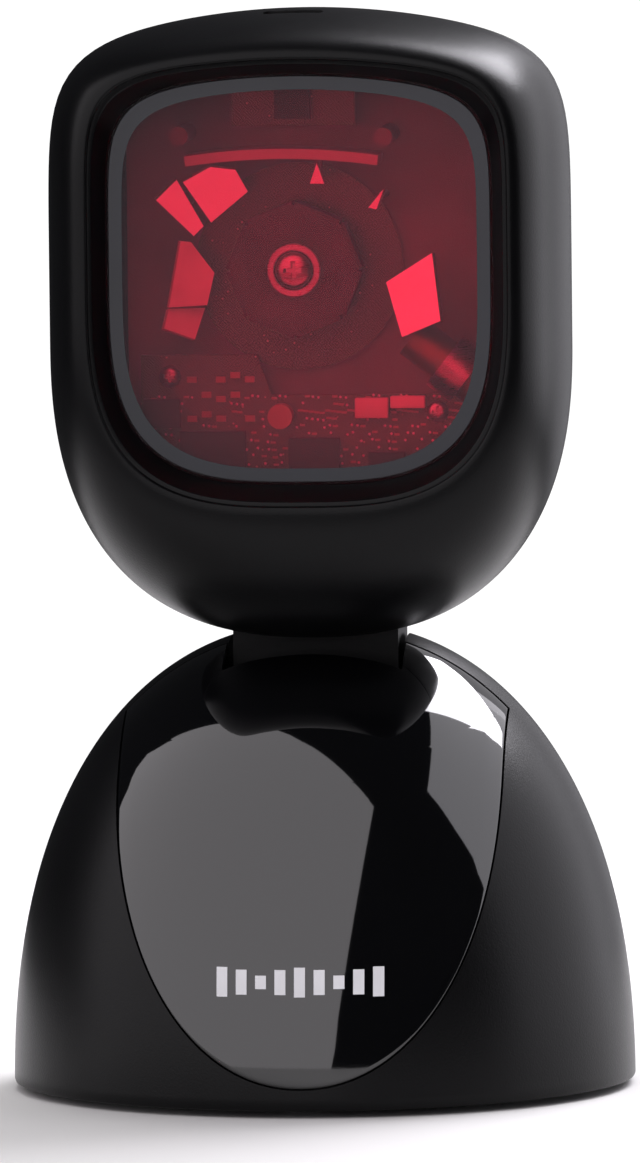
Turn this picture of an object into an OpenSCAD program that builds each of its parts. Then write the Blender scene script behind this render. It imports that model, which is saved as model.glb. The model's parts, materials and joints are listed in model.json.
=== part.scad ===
// Hands-free presentation barcode scanner: a tilting scan head on a weighted dome base.
// Millimetres. The origin is the middle of the footprint on the table, +Z is up,
// the scan window faces -Y and +X is to the right of a person who faces the window.

/* [Base] */
// Outer radius of the dome where it meets the table
base_r = 43; // [38:0.5:55]
// Height of the dome's crown, before the slot is cut
dome_h = 64.2; // [60:0.2:66]
// Roundness of the dome's side, 2 is an ellipse
dome_n = 2.25; // [2.1:0.05:2.8]
// Wall of the dome shell
base_wall = 3.2; // [2.8:0.1:3.8]
// Thickness of the base plate
plate_t = 2.2; // [1.8:0.1:2.6]
// Height of the rubber feet under the base plate
foot_h = 1.2; // [0.8:0.1:1.6]
// Radius of one rubber foot
foot_r = 5.5; // [4:0.25:6]
// Height of the steel weight
ballast_h = 8; // [5:0.5:10]

/* [Front panel] */
// Width of the glossy panel
panel_w = 52.8; // [44:0.4:58]
// Thickness of the glossy panel
panel_t = 1.6; // [1.2:0.1:1.8]
// Height of the middle of the panel's rounded lower end
panel_z = 45; // [42:0.5:50]
// Lowest point of the panel above the table
panel_low = 4; // [3:0.5:12]
// Width of the printed mark
mark_w = 24; // [16:1:30]
// Height of the printed mark
mark_h = 4; // [2:0.25:6]

/* [Tilt hinge] */
// Height of the tilt axis above the table
hinge_z = 48; // [47:0.25:49]
// Width of the neck
neck_w = 22.8; // [20:0.2:26]
// Gap between the neck and each side of its slot
neck_gap = 0.8; // [0.7:0.05:1]
// Depth of the neck from front to back
neck_d = 17; // [14:0.5:18]
// Radius of the neck's barrel
barrel_r = 12.4; // [11.5:0.1:12.8]
// Radius of the pivot pins
pin_r = 3; // [2.4:0.1:3.4]
// Running clearance of the pins in the neck
pin_gap = 0.05; // [0.03:0.01:0.1]

/* [Head] */
// Width of the head
head_w = 71.4; // [68:0.2:84]
// Height of the head's widest line above the tilt axis
head_up = 55.6; // [55.2:0.2:60]
// Head above its widest line, without the arch of its top
head_rise = 39.4; // [37:0.2:46]
// Head below its widest line
head_drop = 40.6; // [38:0.1:41.2]
// Arch of the head's top edge
head_arch = 6.5; // [4:0.25:8]
// Front of the head, in front of the tilt axis
head_front = 34; // [32:0.5:38]
// Widest plane of the head and seam of its covers, in front of the tilt axis
head_seam = 10; // [9:0.25:12]
// Back of the head, behind the tilt axis
head_back = 22; // [20:0.5:28]
// Wall of the head covers
head_wall = 2.2; // [1.8:0.1:2.6]

/* [Scan window] */
// Visible width of the scan window
window_w = 52.8; // [48:0.4:54]
// Width of the recess around the window at the front of the head
lip_w = 57.5; // [56:0.25:59]
// Depth of the recess in front of the window
recess_d = 4.5; // [3:0.25:5]
// Thickness of the window
glass_t = 2; // [1.5:0.1:2.4]

/* [Scan engine] */
// Circumscribed radius of the mirror wheel
wheel_r = 9.5; // [8:0.1:9.8]
// Number of facets on the mirror wheel
wheel_facets = 8; // [6:1:8]
// Thickness of the mirror wheel
wheel_t = 5; // [4:0.25:6]
// Radius of the motor spindle
spindle_r = 1.5; // [1.2:0.05:1.6]
// Radius of the motor's circuit board
motor_board_r = 14.3; // [12:0.1:15]

/* [Hidden] */
$fn = 64;
// Steps around an outline of the head
turns = 56;
// Cut that runs clear past a face
past = 1;

// ---- Base ----
shell_z = 1;
dome_steps = 22;
plate_z = foot_h;
plate_top = plate_z + plate_t;
fit = 0.2;
boss_at = base_r - 9.5;
boss_r = 3.2;
boss_angles = [-90, 30, 150];
foot_at = base_r - 14;
foot_sink = 0.8;
ballast_r = base_r - 13.5;
ballast_bore = 16;
ballast_z = plate_top + fit;
panel_gap = 0.2;
panel_floor = 0.15;
panel_back = 6.5;
panel_n = 2.1;
mark_z = 18.5;
mark_proud = 0.12;

// ---- Hinge ----
slot_w = neck_w + 2 * neck_gap;
slot_front = 15.7;
slot_rear = 18.5;
pocket_r = barrel_r + 0.8;
pocket_wall = 1.5;
cheek_gap = 0.3;
cheek_t = 2;
cheek_in = slot_w / 2 + pocket_wall + cheek_gap;
cheek_out = cheek_in + cheek_t;
yoke_d = 18;
web_t = 2;
web_z = ballast_z + ballast_h + fit;
yoke_screw_x = 9;
screw_r = 1.25;
pin_end = cheek_out + 4.2;
flange_r = pin_r + 2;
side_wall = 2;
barrel_wall = 2.6;
neck_wall = 2.3;
neck_top = hinge_z + 26.5;
neck_screw_x = 6.4;
neck_screw_z = hinge_z + 22;
cable_r = 1.7;
cable_gap = 0.7;
cable_bend = 8;

// ---- Cable socket in the rear of the base ----
board_t = 1.6;
socket_board_z = plate_top + 3;
socket_w = 15.6;
socket_h = 12;
socket_y = base_r - base_wall - 2.8;
socket_d = 16;
jack_w = 11.8;
jack_h = 6.6;
header_y = 16;
socket_z = socket_board_z + board_t;
jack_z = socket_z + 2;

// ---- Head ----
head_z = hinge_z + head_up;
window_z = head_z + 9;
lip_rise = 27.6;
lip_arch = 3.3;
lip_drop = 30.2;
window_rise = lip_rise - 2.2;
window_drop = lip_drop - 2.9;
lip_edge = 0.18;
lip_step = 0.6;
lip_ledge = 0.75;
seam_y = -head_seam;
front_y = -head_front;
back_y = head_back;
flange_t = 1.2;
glass_y = front_y + recess_d + flange_t;
glass_lap = 1.6;
glass_gap = 0.25;
glass_proud = 0.9;
rear_z = head_z + 4.4;
rear_n = 2.6;
// Outlines: [half width, side height, rise, arch, upper power, drop, lower power]
head_line = [head_w / 2, head_z, head_rise, head_arch, 8, head_drop, 2.45];
lip_line = [lip_w / 2, window_z, lip_rise, lip_arch, 7.5, lip_drop, 3.1];
window_line = [window_w / 2, window_z, window_rise, lip_arch, 7, window_drop, 3.2];
glass_line = inset(window_line, -glass_lap);
seat_line = inset(glass_line, -0.2);
cover_boss = [[16, window_z + 30.8], [18, head_z - 30]];
cover_boss_r = 2.9;
cover_screw_r = 1.25;
cover_seat_y = 0;

// ---- Scan engine, placed from the wheel's axis ----
hub_x = -2.1;
hub_z = window_z + 1;
wheel_y = -12;
frame_y = -1.4;
frame_t = 2.6;
frame_low = hub_z - 31.6;
post_at = [[-15.5, 18.6], [12.6, 18.3]];
post_r = 1.3;
board_y = frame_y - 2 - board_t;
board_screws_at = [[-20, hub_z - 15], [17, hub_z - 20], [-16, hub_z - 34], [14, hub_z - 34]];
laser_at = [20, -12.4];
laser_r = 3;
laser_y = -9;
laser_turn = 52;
motor_board_t = 1.2;
motor_board_y = frame_y - motor_board_t;
stator_r = 6;
hub_thread_r = 0.8;
magnet_r = 8.2;
magnet_wall = 1.4;
bearing_r = spindle_r + 1;
bearing_front = wheel_y + wheel_t + 1.6;
mirror_t = 1;
facet_t = 0.55;
// Pattern mirrors, seen from the front with the hub at the origin: [corners, lean inwards, depth]
mirrors = [
    [[[-19, 10.2], [-16.1, 12.9], [-12.2, 6.1], [-13.6, 4.8]], 24, -14],
    [[[-15.2, 12.6], [-11.4, 14.6], [-7.9, 14], [-6.2, 10.8], [-11.3, 6.6]], 20, -13],
    [[[-15.7, 4.2], [-14.2, 4], [-10.9, -0.3], [-12, -4.7], [-17.5, -4.9]], 22, -13],
    [[[-17.6, -5.3], [-12.2, -5.1], [-13.9, -9.5], [-18.4, -8.1]], 30, -12],
    [[[19.4, 2.3], [20.8, -7], [15, -9.2], [12.5, -1.7]], 22, -13.6],
    [[[10.4, 8.6], [11.6, 8.4], [12.9, 11.4]], 24, -13],
    [[[2.4, 12], [4.4, 12], [3.5, 15]], 20, -13]];
// Where a moulded post meets the back of each pattern mirror but the last: [x, z, radius]
mirror_posts_at = [[-15.6, 9.4, 1.1], [-11.2, 11.6, 1.1], [-15.7, -1, 1], [-15.8, -7.2, 1.1],
    [17.4, -4, 1.3], [11.9, 10, 0.5]];
status_x = -1.5;
status_y = -17;

// Shrinks an outline all round
function inset(o, d) = [o[0] - d, o[1], o[2] - d, o[3], o[4], o[5] - d, o[6]];
// A point of an outline, [x, z], at an angle from +X
function outline_point(o, a) = let (c = cos(a), s = sin(a), up = s >= 0, n = up ? o[4] : o[6],
    b = up ? o[2] : o[5], r = 1 / pow(pow(abs(c), n) + pow(abs(s), n), 1 / n), x = o[0] * r * c)
    [x, o[1] + b * r * s + (up ? o[3] * (1 - pow(x / o[0], 2)) : 0)];
function outline(o, count = turns) = [for (i = [0:count - 1]) outline_point(o, i * 360 / count)];
// Ring of an outline at a depth, blended a share of the way from one outline to another
function ring(from, to, share, y) = [for (i = [0:turns - 1])
    let (p = outline_point(from, i * 360 / turns), q = outline_point(to, i * 360 / turns),
        m = p + (q - p) * share) [m[0], y, m[1]]];
// Ring of the rear of the head, shrunk towards its middle, a share of the way to its back
function rear_ring(o, depth, share) = [for (i = [0:turns - 1])
    let (p = outline_point(o, i * 360 / turns), s = pow(1 - pow(share, rear_n), 1 / rear_n))
    [p[0] * s, seam_y + depth * share, rear_z + (p[1] - rear_z) * s]];
// Radius and height of the dome, a distance inside its outer surface
function dome_point(d, a) = [(base_r - d) * pow(cos(a), 2 / dome_n), (dome_h - d) * pow(sin(a), 2 / dome_n)];
// Middle of a list of points
function middle(pts) = [for (k = [0, 1]) [for (p = pts) p[k]] * [for (p = pts) 1 / len(pts)]];

// Closed skin through a list of rings. A looped skin starts at its outer ring and runs forwards and
// back inside to its start, and the other kind runs backwards and is closed by two points
module skin(rings, looped = true, tips = []) {
    n = turns;
    k = len(rings);
    points = concat([for (r = rings) for (p = r) p], tips);
    bands = looped ? k : k - 1;
    faces = concat(
        [for (j = [0:bands - 1]) for (i = [0:n - 1]) let (a = j * n + i, b = j * n + (i + 1) % n,
            c = ((j + 1) % k) * n + i, d = ((j + 1) % k) * n + (i + 1) % n)
            each looped ? [[a, d, b], [a, c, d]] : [[a, b, d], [a, d, c]]],
        looped ? [] : [for (i = [0:n - 1]) [k * n, (i + 1) % n, i]],
        looped ? [] : [for (i = [0:n - 1]) [k * n + 1, (k - 1) * n + i, (k - 1) * n + (i + 1) % n]]);
    polyhedron(points, faces);
}
// Turns a flat shape drawn in X and Z into a slab from y0 to y1
module slab(y0, y1) {
    translate([0, y1, 0]) rotate([90, 0, 0]) linear_extrude(y1 - y0) children();
}
// Cylinder along Y from y0 to y1 at a point [x, z]
module rod_y(p, r, y0, y1) {
    translate([p[0], y1, p[1]]) rotate([90, 0, 0]) cylinder(r = r, h = y1 - y0);
}
// Cylinder along X from x0 to x1 at a point [y, z]
module rod_x(p, r, x0, x1) {
    translate([x0, p[0], p[1]]) rotate([0, 90, 0]) cylinder(r = r, h = x1 - x0);
}
// Box between two corners
module box(low, high) {
    translate(low) cube(high - low);
}
// Screw along +Y with a cross recess in its head, its seat at y
module screw_y(p, seat, head_r, head_h, r, length) {
    difference() {
        union() {
            rod_y(p, head_r, seat, seat + head_h);
            rod_y(p, r, seat - length, seat);
        }
        for (w = [[0.3, 1.1], [1.1, 0.3]])
            box([p[0] - w[0], seat + head_h * 0.4, p[1] - w[1]],
                [p[0] + w[0], seat + head_h + past, p[1] + w[1]]);
    }
}
// Solid of the dome, a distance inside its outer surface, down to a height
module dome(d, low) {
    rotate_extrude($fn = 128) polygon(concat([[0, low], [base_r - d, low]],
        [for (i = [1:dome_steps]) let (p = dome_point(d, i * 90 / dome_steps)) if (p[1] > low) p]));
}

// ---- Base ----
// Front outline of the glossy panel, grown by g
module panel_outline(g) {
    a = panel_w / 2 + g;
    b = panel_z - panel_low + g;
    polygon(concat([[-a, dome_h + 5], [-a, panel_z]],
        [for (t = [-170:10:-10]) [a * sign(cos(t)) * pow(abs(cos(t)), 2 / panel_n),
            panel_z - b * pow(abs(sin(t)), 2 / panel_n)]],
        [[a, panel_z], [a, dome_h + 5]]));
}
// Space in the dome where the neck swings, grown by g at its walls and floor
module neck_pocket(g, side) {
    rotate([90, 0, 90]) translate([0, 0, -side]) linear_extrude(2 * side) union() {
        translate([0, hinge_z]) circle(pocket_r + g, $fn = 96);
        polygon([[-pocket_r - g, hinge_z], [-slot_front - g, hinge_z + 13], [-slot_front - g, dome_h + 5],
            [slot_rear + g, dome_h + 5], [slot_rear + g, hinge_z + 10], [pocket_r + g, hinge_z]]);
    }
}
module base_shell() {
    color([0.07, 0.07, 0.075]) difference() {
        union() {
            difference() {
                dome(0, shell_z);
                dome(base_wall, shell_z - past);
            }
            intersection() {
                neck_pocket(pocket_wall, slot_w / 2 + pocket_wall);
                dome(base_wall / 2, shell_z);
            }
            for (a = boss_angles) intersection() {
                rotate(a) translate([boss_at, 0, plate_top]) cylinder(r = boss_r, h = dome_h);
                dome(base_wall / 2, shell_z);
            }
        }
        neck_pocket(0, slot_w / 2);
        intersection() {
            difference() {
                dome(-past, shell_z - past);
                dome(panel_t + panel_floor, shell_z - past);
            }
            slab(-base_r - past, -panel_back + panel_gap) panel_outline(panel_gap);
        }
        for (a = boss_angles) rotate(a) translate([boss_at, 0, 0])
            cylinder(r = screw_r - 0.25, h = plate_top + 10);
        rod_x([0, hinge_z], pin_r + pin_gap, -cheek_in, cheek_in);
        translate([0, 0, hinge_z - pocket_r - pocket_wall - past]) cylinder(r = cable_r + 1.3, h = 6);
        box([-jack_w / 2 - 0.6, socket_y - 4, jack_z - 0.6],
            [jack_w / 2 + 0.6, base_r + past, jack_z + jack_h + 2.4]);
    }
}
module front_panel() {
    color([0.02, 0.02, 0.022]) difference() {
        intersection() {
            difference() {
                dome(0, shell_z);
                dome(panel_t, shell_z - past);
            }
            slab(-base_r - past, -panel_back) panel_outline(0);
        }
        neck_pocket(0, slot_w / 2 + panel_gap);
    }
}
// Printed mark: a row of plain bars that grow and shrink
module panel_mark() {
    bars = 9;
    pitch = mark_w / bars;
    color([0.85, 0.85, 0.87]) intersection() {
        difference() {
            dome(-mark_proud, shell_z);
            dome(0, shell_z - past);
        }
        union() for (i = [0:bars - 1]) let (x = (i - (bars - 1) / 2) * pitch,
            h = mark_h * (0.45 + 0.55 * abs(cos(i * 45))))
            box([x - pitch * 0.28, -base_r - past, mark_z - h / 2],
                [x + pitch * 0.28, -base_r * 0.7, mark_z + h / 2]);
    }
}
module base_plate() {
    color([0.1, 0.1, 0.105]) difference() {
        union() {
            translate([0, 0, plate_z]) cylinder(r = base_r - base_wall - fit, h = plate_t, $fn = 128);
            for (s = [-1, 1]) translate([s * yoke_screw_x, 0, plate_top - 0.5])
                cylinder(r = 3.4, h = web_z - plate_top + 0.5);
            for (x = [-10, 10], y = [header_y, header_y + 13])
                translate([x, y, plate_top - 0.5]) cylinder(r = 2, h = socket_board_z - plate_top + 0.5);
        }
        for (a = boss_angles) rotate(a) translate([boss_at, 0, plate_z - past])
            cylinder(r = screw_r + 0.15, h = plate_t + 2 * past);
        for (a = [45:90:315]) rotate(a) translate([foot_at, 0, plate_z - past])
            cylinder(r = foot_r + fit, h = foot_sink + past);
        for (s = [-1, 1]) translate([s * yoke_screw_x, 0, web_z - 7]) cylinder(r = screw_r - 0.2, h = 8);
    }
}
module rubber_feet() {
    color([0.03, 0.03, 0.03]) for (a = [45:90:315]) rotate(a) translate([foot_at, 0, 0])
        cylinder(r = foot_r, h = foot_h + foot_sink);
}
module ballast_weight() {
    color([0.42, 0.42, 0.44]) difference() {
        translate([0, 0, ballast_z]) cylinder(r = ballast_r, h = ballast_h, $fn = 96);
        translate([0, 0, ballast_z - past]) cylinder(r = ballast_bore, h = ballast_h + 2 * past);
        box([-socket_w / 2 - 6, header_y - 4, ballast_z - past],
            [socket_w / 2 + 6, base_r, ballast_z + ballast_h + past]);
    }
}
module base_screws() {
    color("silver") for (a = boss_angles) rotate(a) translate([boss_at, 0, plate_z - 0.9]) difference() {
        union() {
            cylinder(r = 2.6, h = 0.9);
            cylinder(r = screw_r - 0.25, h = 9);
        }
        for (w = [[0.3, 1.2], [1.2, 0.3]]) box([-w[0], -w[1], -past], [w[0], w[1], 0.5]);
    }
}
module pivot_yoke() {
    color([0.6, 0.6, 0.62]) difference() {
        union() {
            box([-cheek_out, -yoke_d / 2, web_z], [cheek_out, yoke_d / 2, web_z + web_t]);
            intersection() {
                for (s = [-1, 1]) union() {
                    rod_x([0, hinge_z], yoke_d / 2,
                        s > 0 ? cheek_in : -cheek_out, s > 0 ? cheek_out : -cheek_in);
                    box([s > 0 ? cheek_in : -cheek_out, -yoke_d / 2, web_z],
                        [s > 0 ? cheek_out : -cheek_in, yoke_d / 2, hinge_z]);
                }
                dome(base_wall + fit, shell_z);
            }
        }
        rod_x([0, hinge_z], pin_r, -cheek_out - past, cheek_out + past);
        for (s = [-1, 1]) translate([s * yoke_screw_x, 0, web_z - past])
            cylinder(r = screw_r + 0.15, h = web_t + 2 * past);
    }
}
module yoke_screws() {
    color("silver") for (s = [-1, 1]) translate([s * yoke_screw_x, 0, web_z + web_t]) difference() {
        union() {
            cylinder(r = 2.4, h = 1.6);
            translate([0, 0, -web_t - 6]) cylinder(r = screw_r - 0.2, h = web_t + 6);
        }
        for (w = [[0.3, 1.1], [1.1, 0.3]]) box([-w[0], -w[1], 0.8], [w[0], w[1], 3]);
    }
}
module pivot_pins() {
    in = neck_w / 2 - side_wall - 0.4;
    color([0.72, 0.72, 0.74]) for (s = [0, 180]) rotate(s) {
        rod_x([0, hinge_z], pin_r, in - 1, pin_end);
        rod_x([0, hinge_z], flange_r, in - 1.4, in);
    }
}
module pivot_nuts() {
    color("silver") for (s = [0, 180]) rotate(s) difference() {
        translate([cheek_out + 0.6, 0, hinge_z]) rotate([0, 90, 0]) cylinder(r = pin_r + 2.4, h = 3, $fn = 6);
        rod_x([0, hinge_z], pin_r, cheek_out, pin_end + past);
    }
}
module friction_washers() {
    color([0.75, 0.7, 0.5]) for (s = [0, 180]) rotate(s) {
        difference() {
            rod_x([0, hinge_z], pin_r + 3.2, neck_w / 2 + 0.1, slot_w / 2 - 0.1);
            rod_x([0, hinge_z], pin_r, neck_w / 2, slot_w / 2);
        }
        difference() {
            rod_x([0, hinge_z], pin_r + 2.2, cheek_out, cheek_out + 0.6);
            rod_x([0, hinge_z], pin_r, cheek_out - past, cheek_out + past);
        }
    }
}
module socket_board() {
    color([0.05, 0.25, 0.12]) difference() {
        box([-13, header_y - 3, socket_board_z], [13, socket_y - 3, socket_z]);
        for (x = [-10, 10]) translate([x, header_y, socket_board_z - past]) cylinder(r = 1, h = 4);
    }
}
module modular_socket() {
    color([0.06, 0.06, 0.06]) difference() {
        box([-socket_w / 2, socket_y - socket_d, socket_z], [socket_w / 2, socket_y, socket_z + socket_h]);
        box([-jack_w / 2, socket_y - socket_d + 2, jack_z], [jack_w / 2, socket_y + past, jack_z + jack_h]);
        box([-3.2, socket_y - 9, jack_z], [3.2, socket_y + past, jack_z + jack_h + 1.8]);
    }
}
module socket_contacts() {
    color([0.85, 0.65, 0.25]) for (i = [0:9]) let (x = (i - 4.5) * 1.02)
        box([x - 0.2, socket_y - socket_d + 2.2, jack_z + 0.02], [x + 0.2, socket_y - 4, jack_z + 0.7]);
}
module base_plug() {
    color([0.9, 0.9, 0.86]) difference() {
        box([-4, header_y - 2.4, socket_z], [4, header_y + 2.4, socket_z + 4.2]);
        translate([0, header_y, socket_z + 2.4]) cylinder(r = cable_r, h = 4);
    }
}
// Lead from the cable socket to the tilt axis
module base_harness() {
    z0 = socket_z + 2.4;
    z1 = hinge_z - pocket_r - 2 * cable_bend - 1;
    color([0.12, 0.12, 0.13]) union() {
        translate([0, header_y, z0]) cylinder(r = cable_r, h = z1 - z0);
        translate([0, header_y - cable_bend, z1]) rotate([90, 0, 90])
            rotate_extrude(angle = 90) translate([cable_bend, 0]) circle(cable_r, $fn = 32);
        translate([0, cable_bend, z1 + 2 * cable_bend]) rotate([90, 0, 90]) rotate(180)
            rotate_extrude(angle = 90) translate([cable_bend, 0]) circle(cable_r, $fn = 32);
        translate([0, 0, z1 + 2 * cable_bend])
            cylinder(r = cable_r, h = hinge_z - cable_gap - z1 - 2 * cable_bend);
    }
}
module harness_clip() {
    z = web_z + web_t;
    color([0.9, 0.9, 0.9]) difference() {
        union() {
            translate([0, header_y, z]) cylinder(r = cable_r + 1.3, h = 3);
            box([-2, yoke_d / 2 - 4, z], [2, header_y, z + 1.2]);
        }
        translate([0, header_y, z - past]) cylinder(r = cable_r + 0.05, h = 5);
    }
}

// ---- Neck ----
// Whole neck with its barrel, before it is split into two halves
module neck_whole() {
    barrel_in = barrel_r - barrel_wall;
    difference() {
        union() {
            rod_x([0, hinge_z], barrel_r, -neck_w / 2, neck_w / 2);
            box([-neck_w / 2, -neck_d / 2, hinge_z], [neck_w / 2, neck_d / 2, neck_top]);
        }
        rod_x([0, hinge_z], barrel_in, -neck_w / 2 + side_wall, neck_w / 2 - side_wall);
        box([-neck_w / 2 + side_wall, -neck_d / 2 + neck_wall, hinge_z],
            [neck_w / 2 - side_wall, neck_d / 2 - neck_wall, neck_top + past]);
        rod_x([0, hinge_z], pin_r + pin_gap, -neck_w, neck_w);
        box([-3.4, -7.6, hinge_z - barrel_r - past], [3.4, 7.6, hinge_z - 6]);
    }
}
module neck_half(side) {
    boss = side > 0 ? [frame_y + frame_t, neck_d / 2 - 0.5] : [0.5 - neck_d / 2, frame_y];
    wall = side > 0 ? [0, neck_w] : [-neck_w, 0];
    difference() {
        union() {
            intersection() {
                neck_whole();
                box([-neck_w, wall[0], 0], [neck_w, wall[1], neck_top + past]);
            }
            for (s = [-1, 1]) rod_y([s * neck_screw_x, neck_screw_z], 2.5, boss[0], boss[1]);
        }
        for (s = [-1, 1]) {
            rod_y([s * neck_screw_x, neck_screw_z], side > 0 ? screw_r + 0.15 : screw_r - 0.2,
                side > 0 ? 0 : -neck_d / 2 + 1.2, side > 0 ? neck_d : 0);
            if (side > 0) rod_y([s * neck_screw_x, neck_screw_z], 2.4, neck_d / 2 - 1.8, neck_d);
        }
    }
}
module neck_front() {
    color([0.03, 0.03, 0.033]) neck_half(-1);
}
module neck_rear() {
    color([0.03, 0.03, 0.033]) neck_half(1);
}
module neck_screws() {
    color("silver") for (s = [-1, 1])
        screw_y([s * neck_screw_x, neck_screw_z], neck_d / 2 - 1.8, 2.2, 1.4, screw_r - 0.2, neck_d - 4);
}

// ---- Head covers ----
// Opening for the neck in the underside of the covers
module neck_opening() {
    g = 0.3;
    box([-neck_w / 2 - g, -neck_d / 2 - g, hinge_z], [neck_w / 2 + g, neck_d / 2 + g, neck_top + 2]);
}
module head_front_cover() {
    steps = 7;
    seat_y = glass_y + glass_t + 0.5;
    inner = inset(head_line, head_wall);
    outer_rings = [for (k = [steps:-1:0]) let (a = k * 90 / steps)
        ring(lip_line, head_line, sin(a), front_y + (head_front - head_seam) * (1 - cos(a)))];
    ledge = inset(lip_line, lip_ledge);
    step_line = inset(lip_line, lip_edge);
    seat_rings = [ring(step_line, step_line, 0, front_y), ring(step_line, step_line, 0, front_y + lip_step),
        ring(ledge, ledge, 0, front_y + lip_step + 0.1), ring(window_line, window_line, 0, front_y + recess_d),
        ring(window_line, window_line, 0, glass_y), ring(seat_line, seat_line, 0, glass_y)];
    inner_rings = [for (k = [0:steps - 1]) let (a = k * 90 / (steps - 1))
        ring(seat_line, inner, sin(a), seat_y + (seam_y - seat_y) * (1 - cos(a)))];
    color([0.06, 0.06, 0.065]) difference() {
        union() {
            skin(concat(outer_rings, seat_rings, inner_rings));
            for (s = [-1, 1], p = cover_boss)
                rod_y([s * p[0], p[1]], cover_boss_r, seam_y - 9, seam_y);
        }
        for (s = [-1, 1], p = cover_boss)
            rod_y([s * p[0], p[1]], cover_screw_r - 0.2, seam_y - 8, seam_y + past);
        neck_opening();
        status_cut();
    }
}
// Rear form of the head, a distance inside its outer surface
module rear_form(d) {
    steps = 7;
    line = inset(head_line, d);
    depth = head_back + head_seam - d;
    skin([for (k = [0:steps - 1]) rear_ring(line, depth, sin(k * 90 / steps))], false,
        [[0, seam_y, rear_z], [0, seam_y + depth, rear_z]]);
}
module head_rear_cover() {
    color([0.06, 0.06, 0.065]) difference() {
        union() {
            difference() {
                rear_form(0);
                rear_cavity();
            }
            intersection() {
                for (s = [-1, 1], p = cover_boss) rod_y([s * p[0], p[1]], cover_boss_r, seam_y, back_y);
                rear_form(head_wall / 2);
            }
        }
        for (s = [-1, 1], p = cover_boss) {
            rod_y([s * p[0], p[1]], cover_screw_r + 0.1, seam_y - past, back_y);
            rod_y([s * p[0], p[1]], 2.3, cover_seat_y, back_y + past);
        }
        neck_opening();
        for (i = [-3:3]) box([-9, head_back - 10, head_z - 8 + i * 2.6], [9, back_y + past, head_z - 6.9 + i * 2.6]);
    }
}
// Hollow of the rear cover, run out a little past the seam
module rear_cavity() {
    steps = 6;
    line = inset(head_line, head_wall);
    depth = head_back + head_seam - head_wall;
    skin(concat([ring(line, line, 0, seam_y - past)],
        [for (k = [0:steps - 1]) rear_ring(line, depth, sin(k * 90 / steps))]), false,
        [[0, seam_y - past, rear_z], [0, seam_y + depth, rear_z]]);
}
module cover_seal() {
    outer = inset(head_line, head_wall + 0.15);
    color([0.03, 0.03, 0.03]) difference() {
        slab(seam_y - 0.6, seam_y + 0.6) polygon(outline(outer));
        slab(seam_y - past, seam_y + past) polygon(outline(inset(outer, 0.9)));
        for (s = [-1, 1], p = cover_boss) rod_y([s * p[0], p[1]], cover_boss_r + 0.1, seam_y - 2, seam_y + 2);
        neck_opening();
    }
}
module head_screws() {
    color("silver") for (s = [-1, 1], p = cover_boss)
        screw_y([s * p[0], p[1]], cover_seat_y, 2.1, 1.4, cover_screw_r - 0.2, head_seam + 6);
}
module scan_window() {
    face = inset(window_line, glass_gap);
    color([0.6, 0.05, 0.08, 0.5]) union() {
        slab(glass_y, glass_y + glass_t) polygon(outline(glass_line));
        slab(glass_y - glass_proud, glass_y + glass_t / 2) polygon(outline(face));
    }
}
module window_seal() {
    color([0.02, 0.02, 0.02]) difference() {
        slab(glass_y + glass_t, glass_y + glass_t + 0.9) polygon(outline(glass_line));
        slab(glass_y, glass_y + glass_t + 2) polygon(outline(inset(glass_line, 2.6)));
    }
}

// ---- Status light in the top of the head ----
module status_cut() {
    box([status_x - 4.1, status_y - 1.6, window_z + 32], [status_x + 4.1, status_y + 1.6, head_z + 60]);
}
module light_pipe() {
    top = head_z + head_rise + head_arch - 1.6;
    color([0.9, 0.95, 1, 0.7]) box([status_x - 3.9, status_y - 1.4, top - 3], [status_x + 3.9, status_y + 1.4, top]);
}
module status_board() {
    top = head_z + head_rise + head_arch - 4.6;
    color([0.05, 0.25, 0.12]) union() {
        box([status_x - 6, status_y - 1, top - 2], [status_x + 6, status_y + 4, top - 1]);
        for (x = [-2, 2]) box([status_x + x - 0.8, status_y - 0.5, top - 1.2], [status_x + x + 0.8, status_y + 0.5, top]);
    }
}

// ---- Scan engine ----
module optics_frame() {
    color([0.09, 0.09, 0.1]) difference() {
        union() {
            slab(frame_y, frame_y + frame_t) polygon([[-26, frame_low + 8], [-18, frame_low], [18, frame_low],
                [26, frame_low + 8], [26, hub_z + 20], [20, hub_z + 26], [-20, hub_z + 26], [-26, hub_z + 20]]);
            for (s = [-1, 1]) box([s * neck_screw_x - 2.4, frame_y, neck_screw_z - 4],
                [s * neck_screw_x + 2.4, frame_y + frame_t, frame_low + 1]);
            rod_y([hub_x, hub_z], bearing_r + 2, frame_y, frame_y + frame_t + 2.4);
            for (p = board_screws_at) rod_y(p, 2.2, frame_y - 2, frame_y + 1);
        }
        rod_y([hub_x, hub_z], bearing_r, frame_y - past, frame_y + frame_t + 3);
        for (s = [-1, 1]) rod_y([s * neck_screw_x, neck_screw_z], screw_r + 0.15, frame_y - past, frame_y + 4);
        for (p = board_screws_at) rod_y(p, 0.8, frame_y - 3, frame_y + 2);
        for (p = post_at) rod_y([hub_x + p[0], hub_z + p[1]], 0.8, frame_y - past, frame_y + 4);
    }
}
module frame_screws() {
    color("silver") for (p = post_at)
        screw_y([hub_x + p[0], hub_z + p[1]], frame_y + frame_t, 1.7, 1.1, 0.8, frame_t + 3);
}
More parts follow.
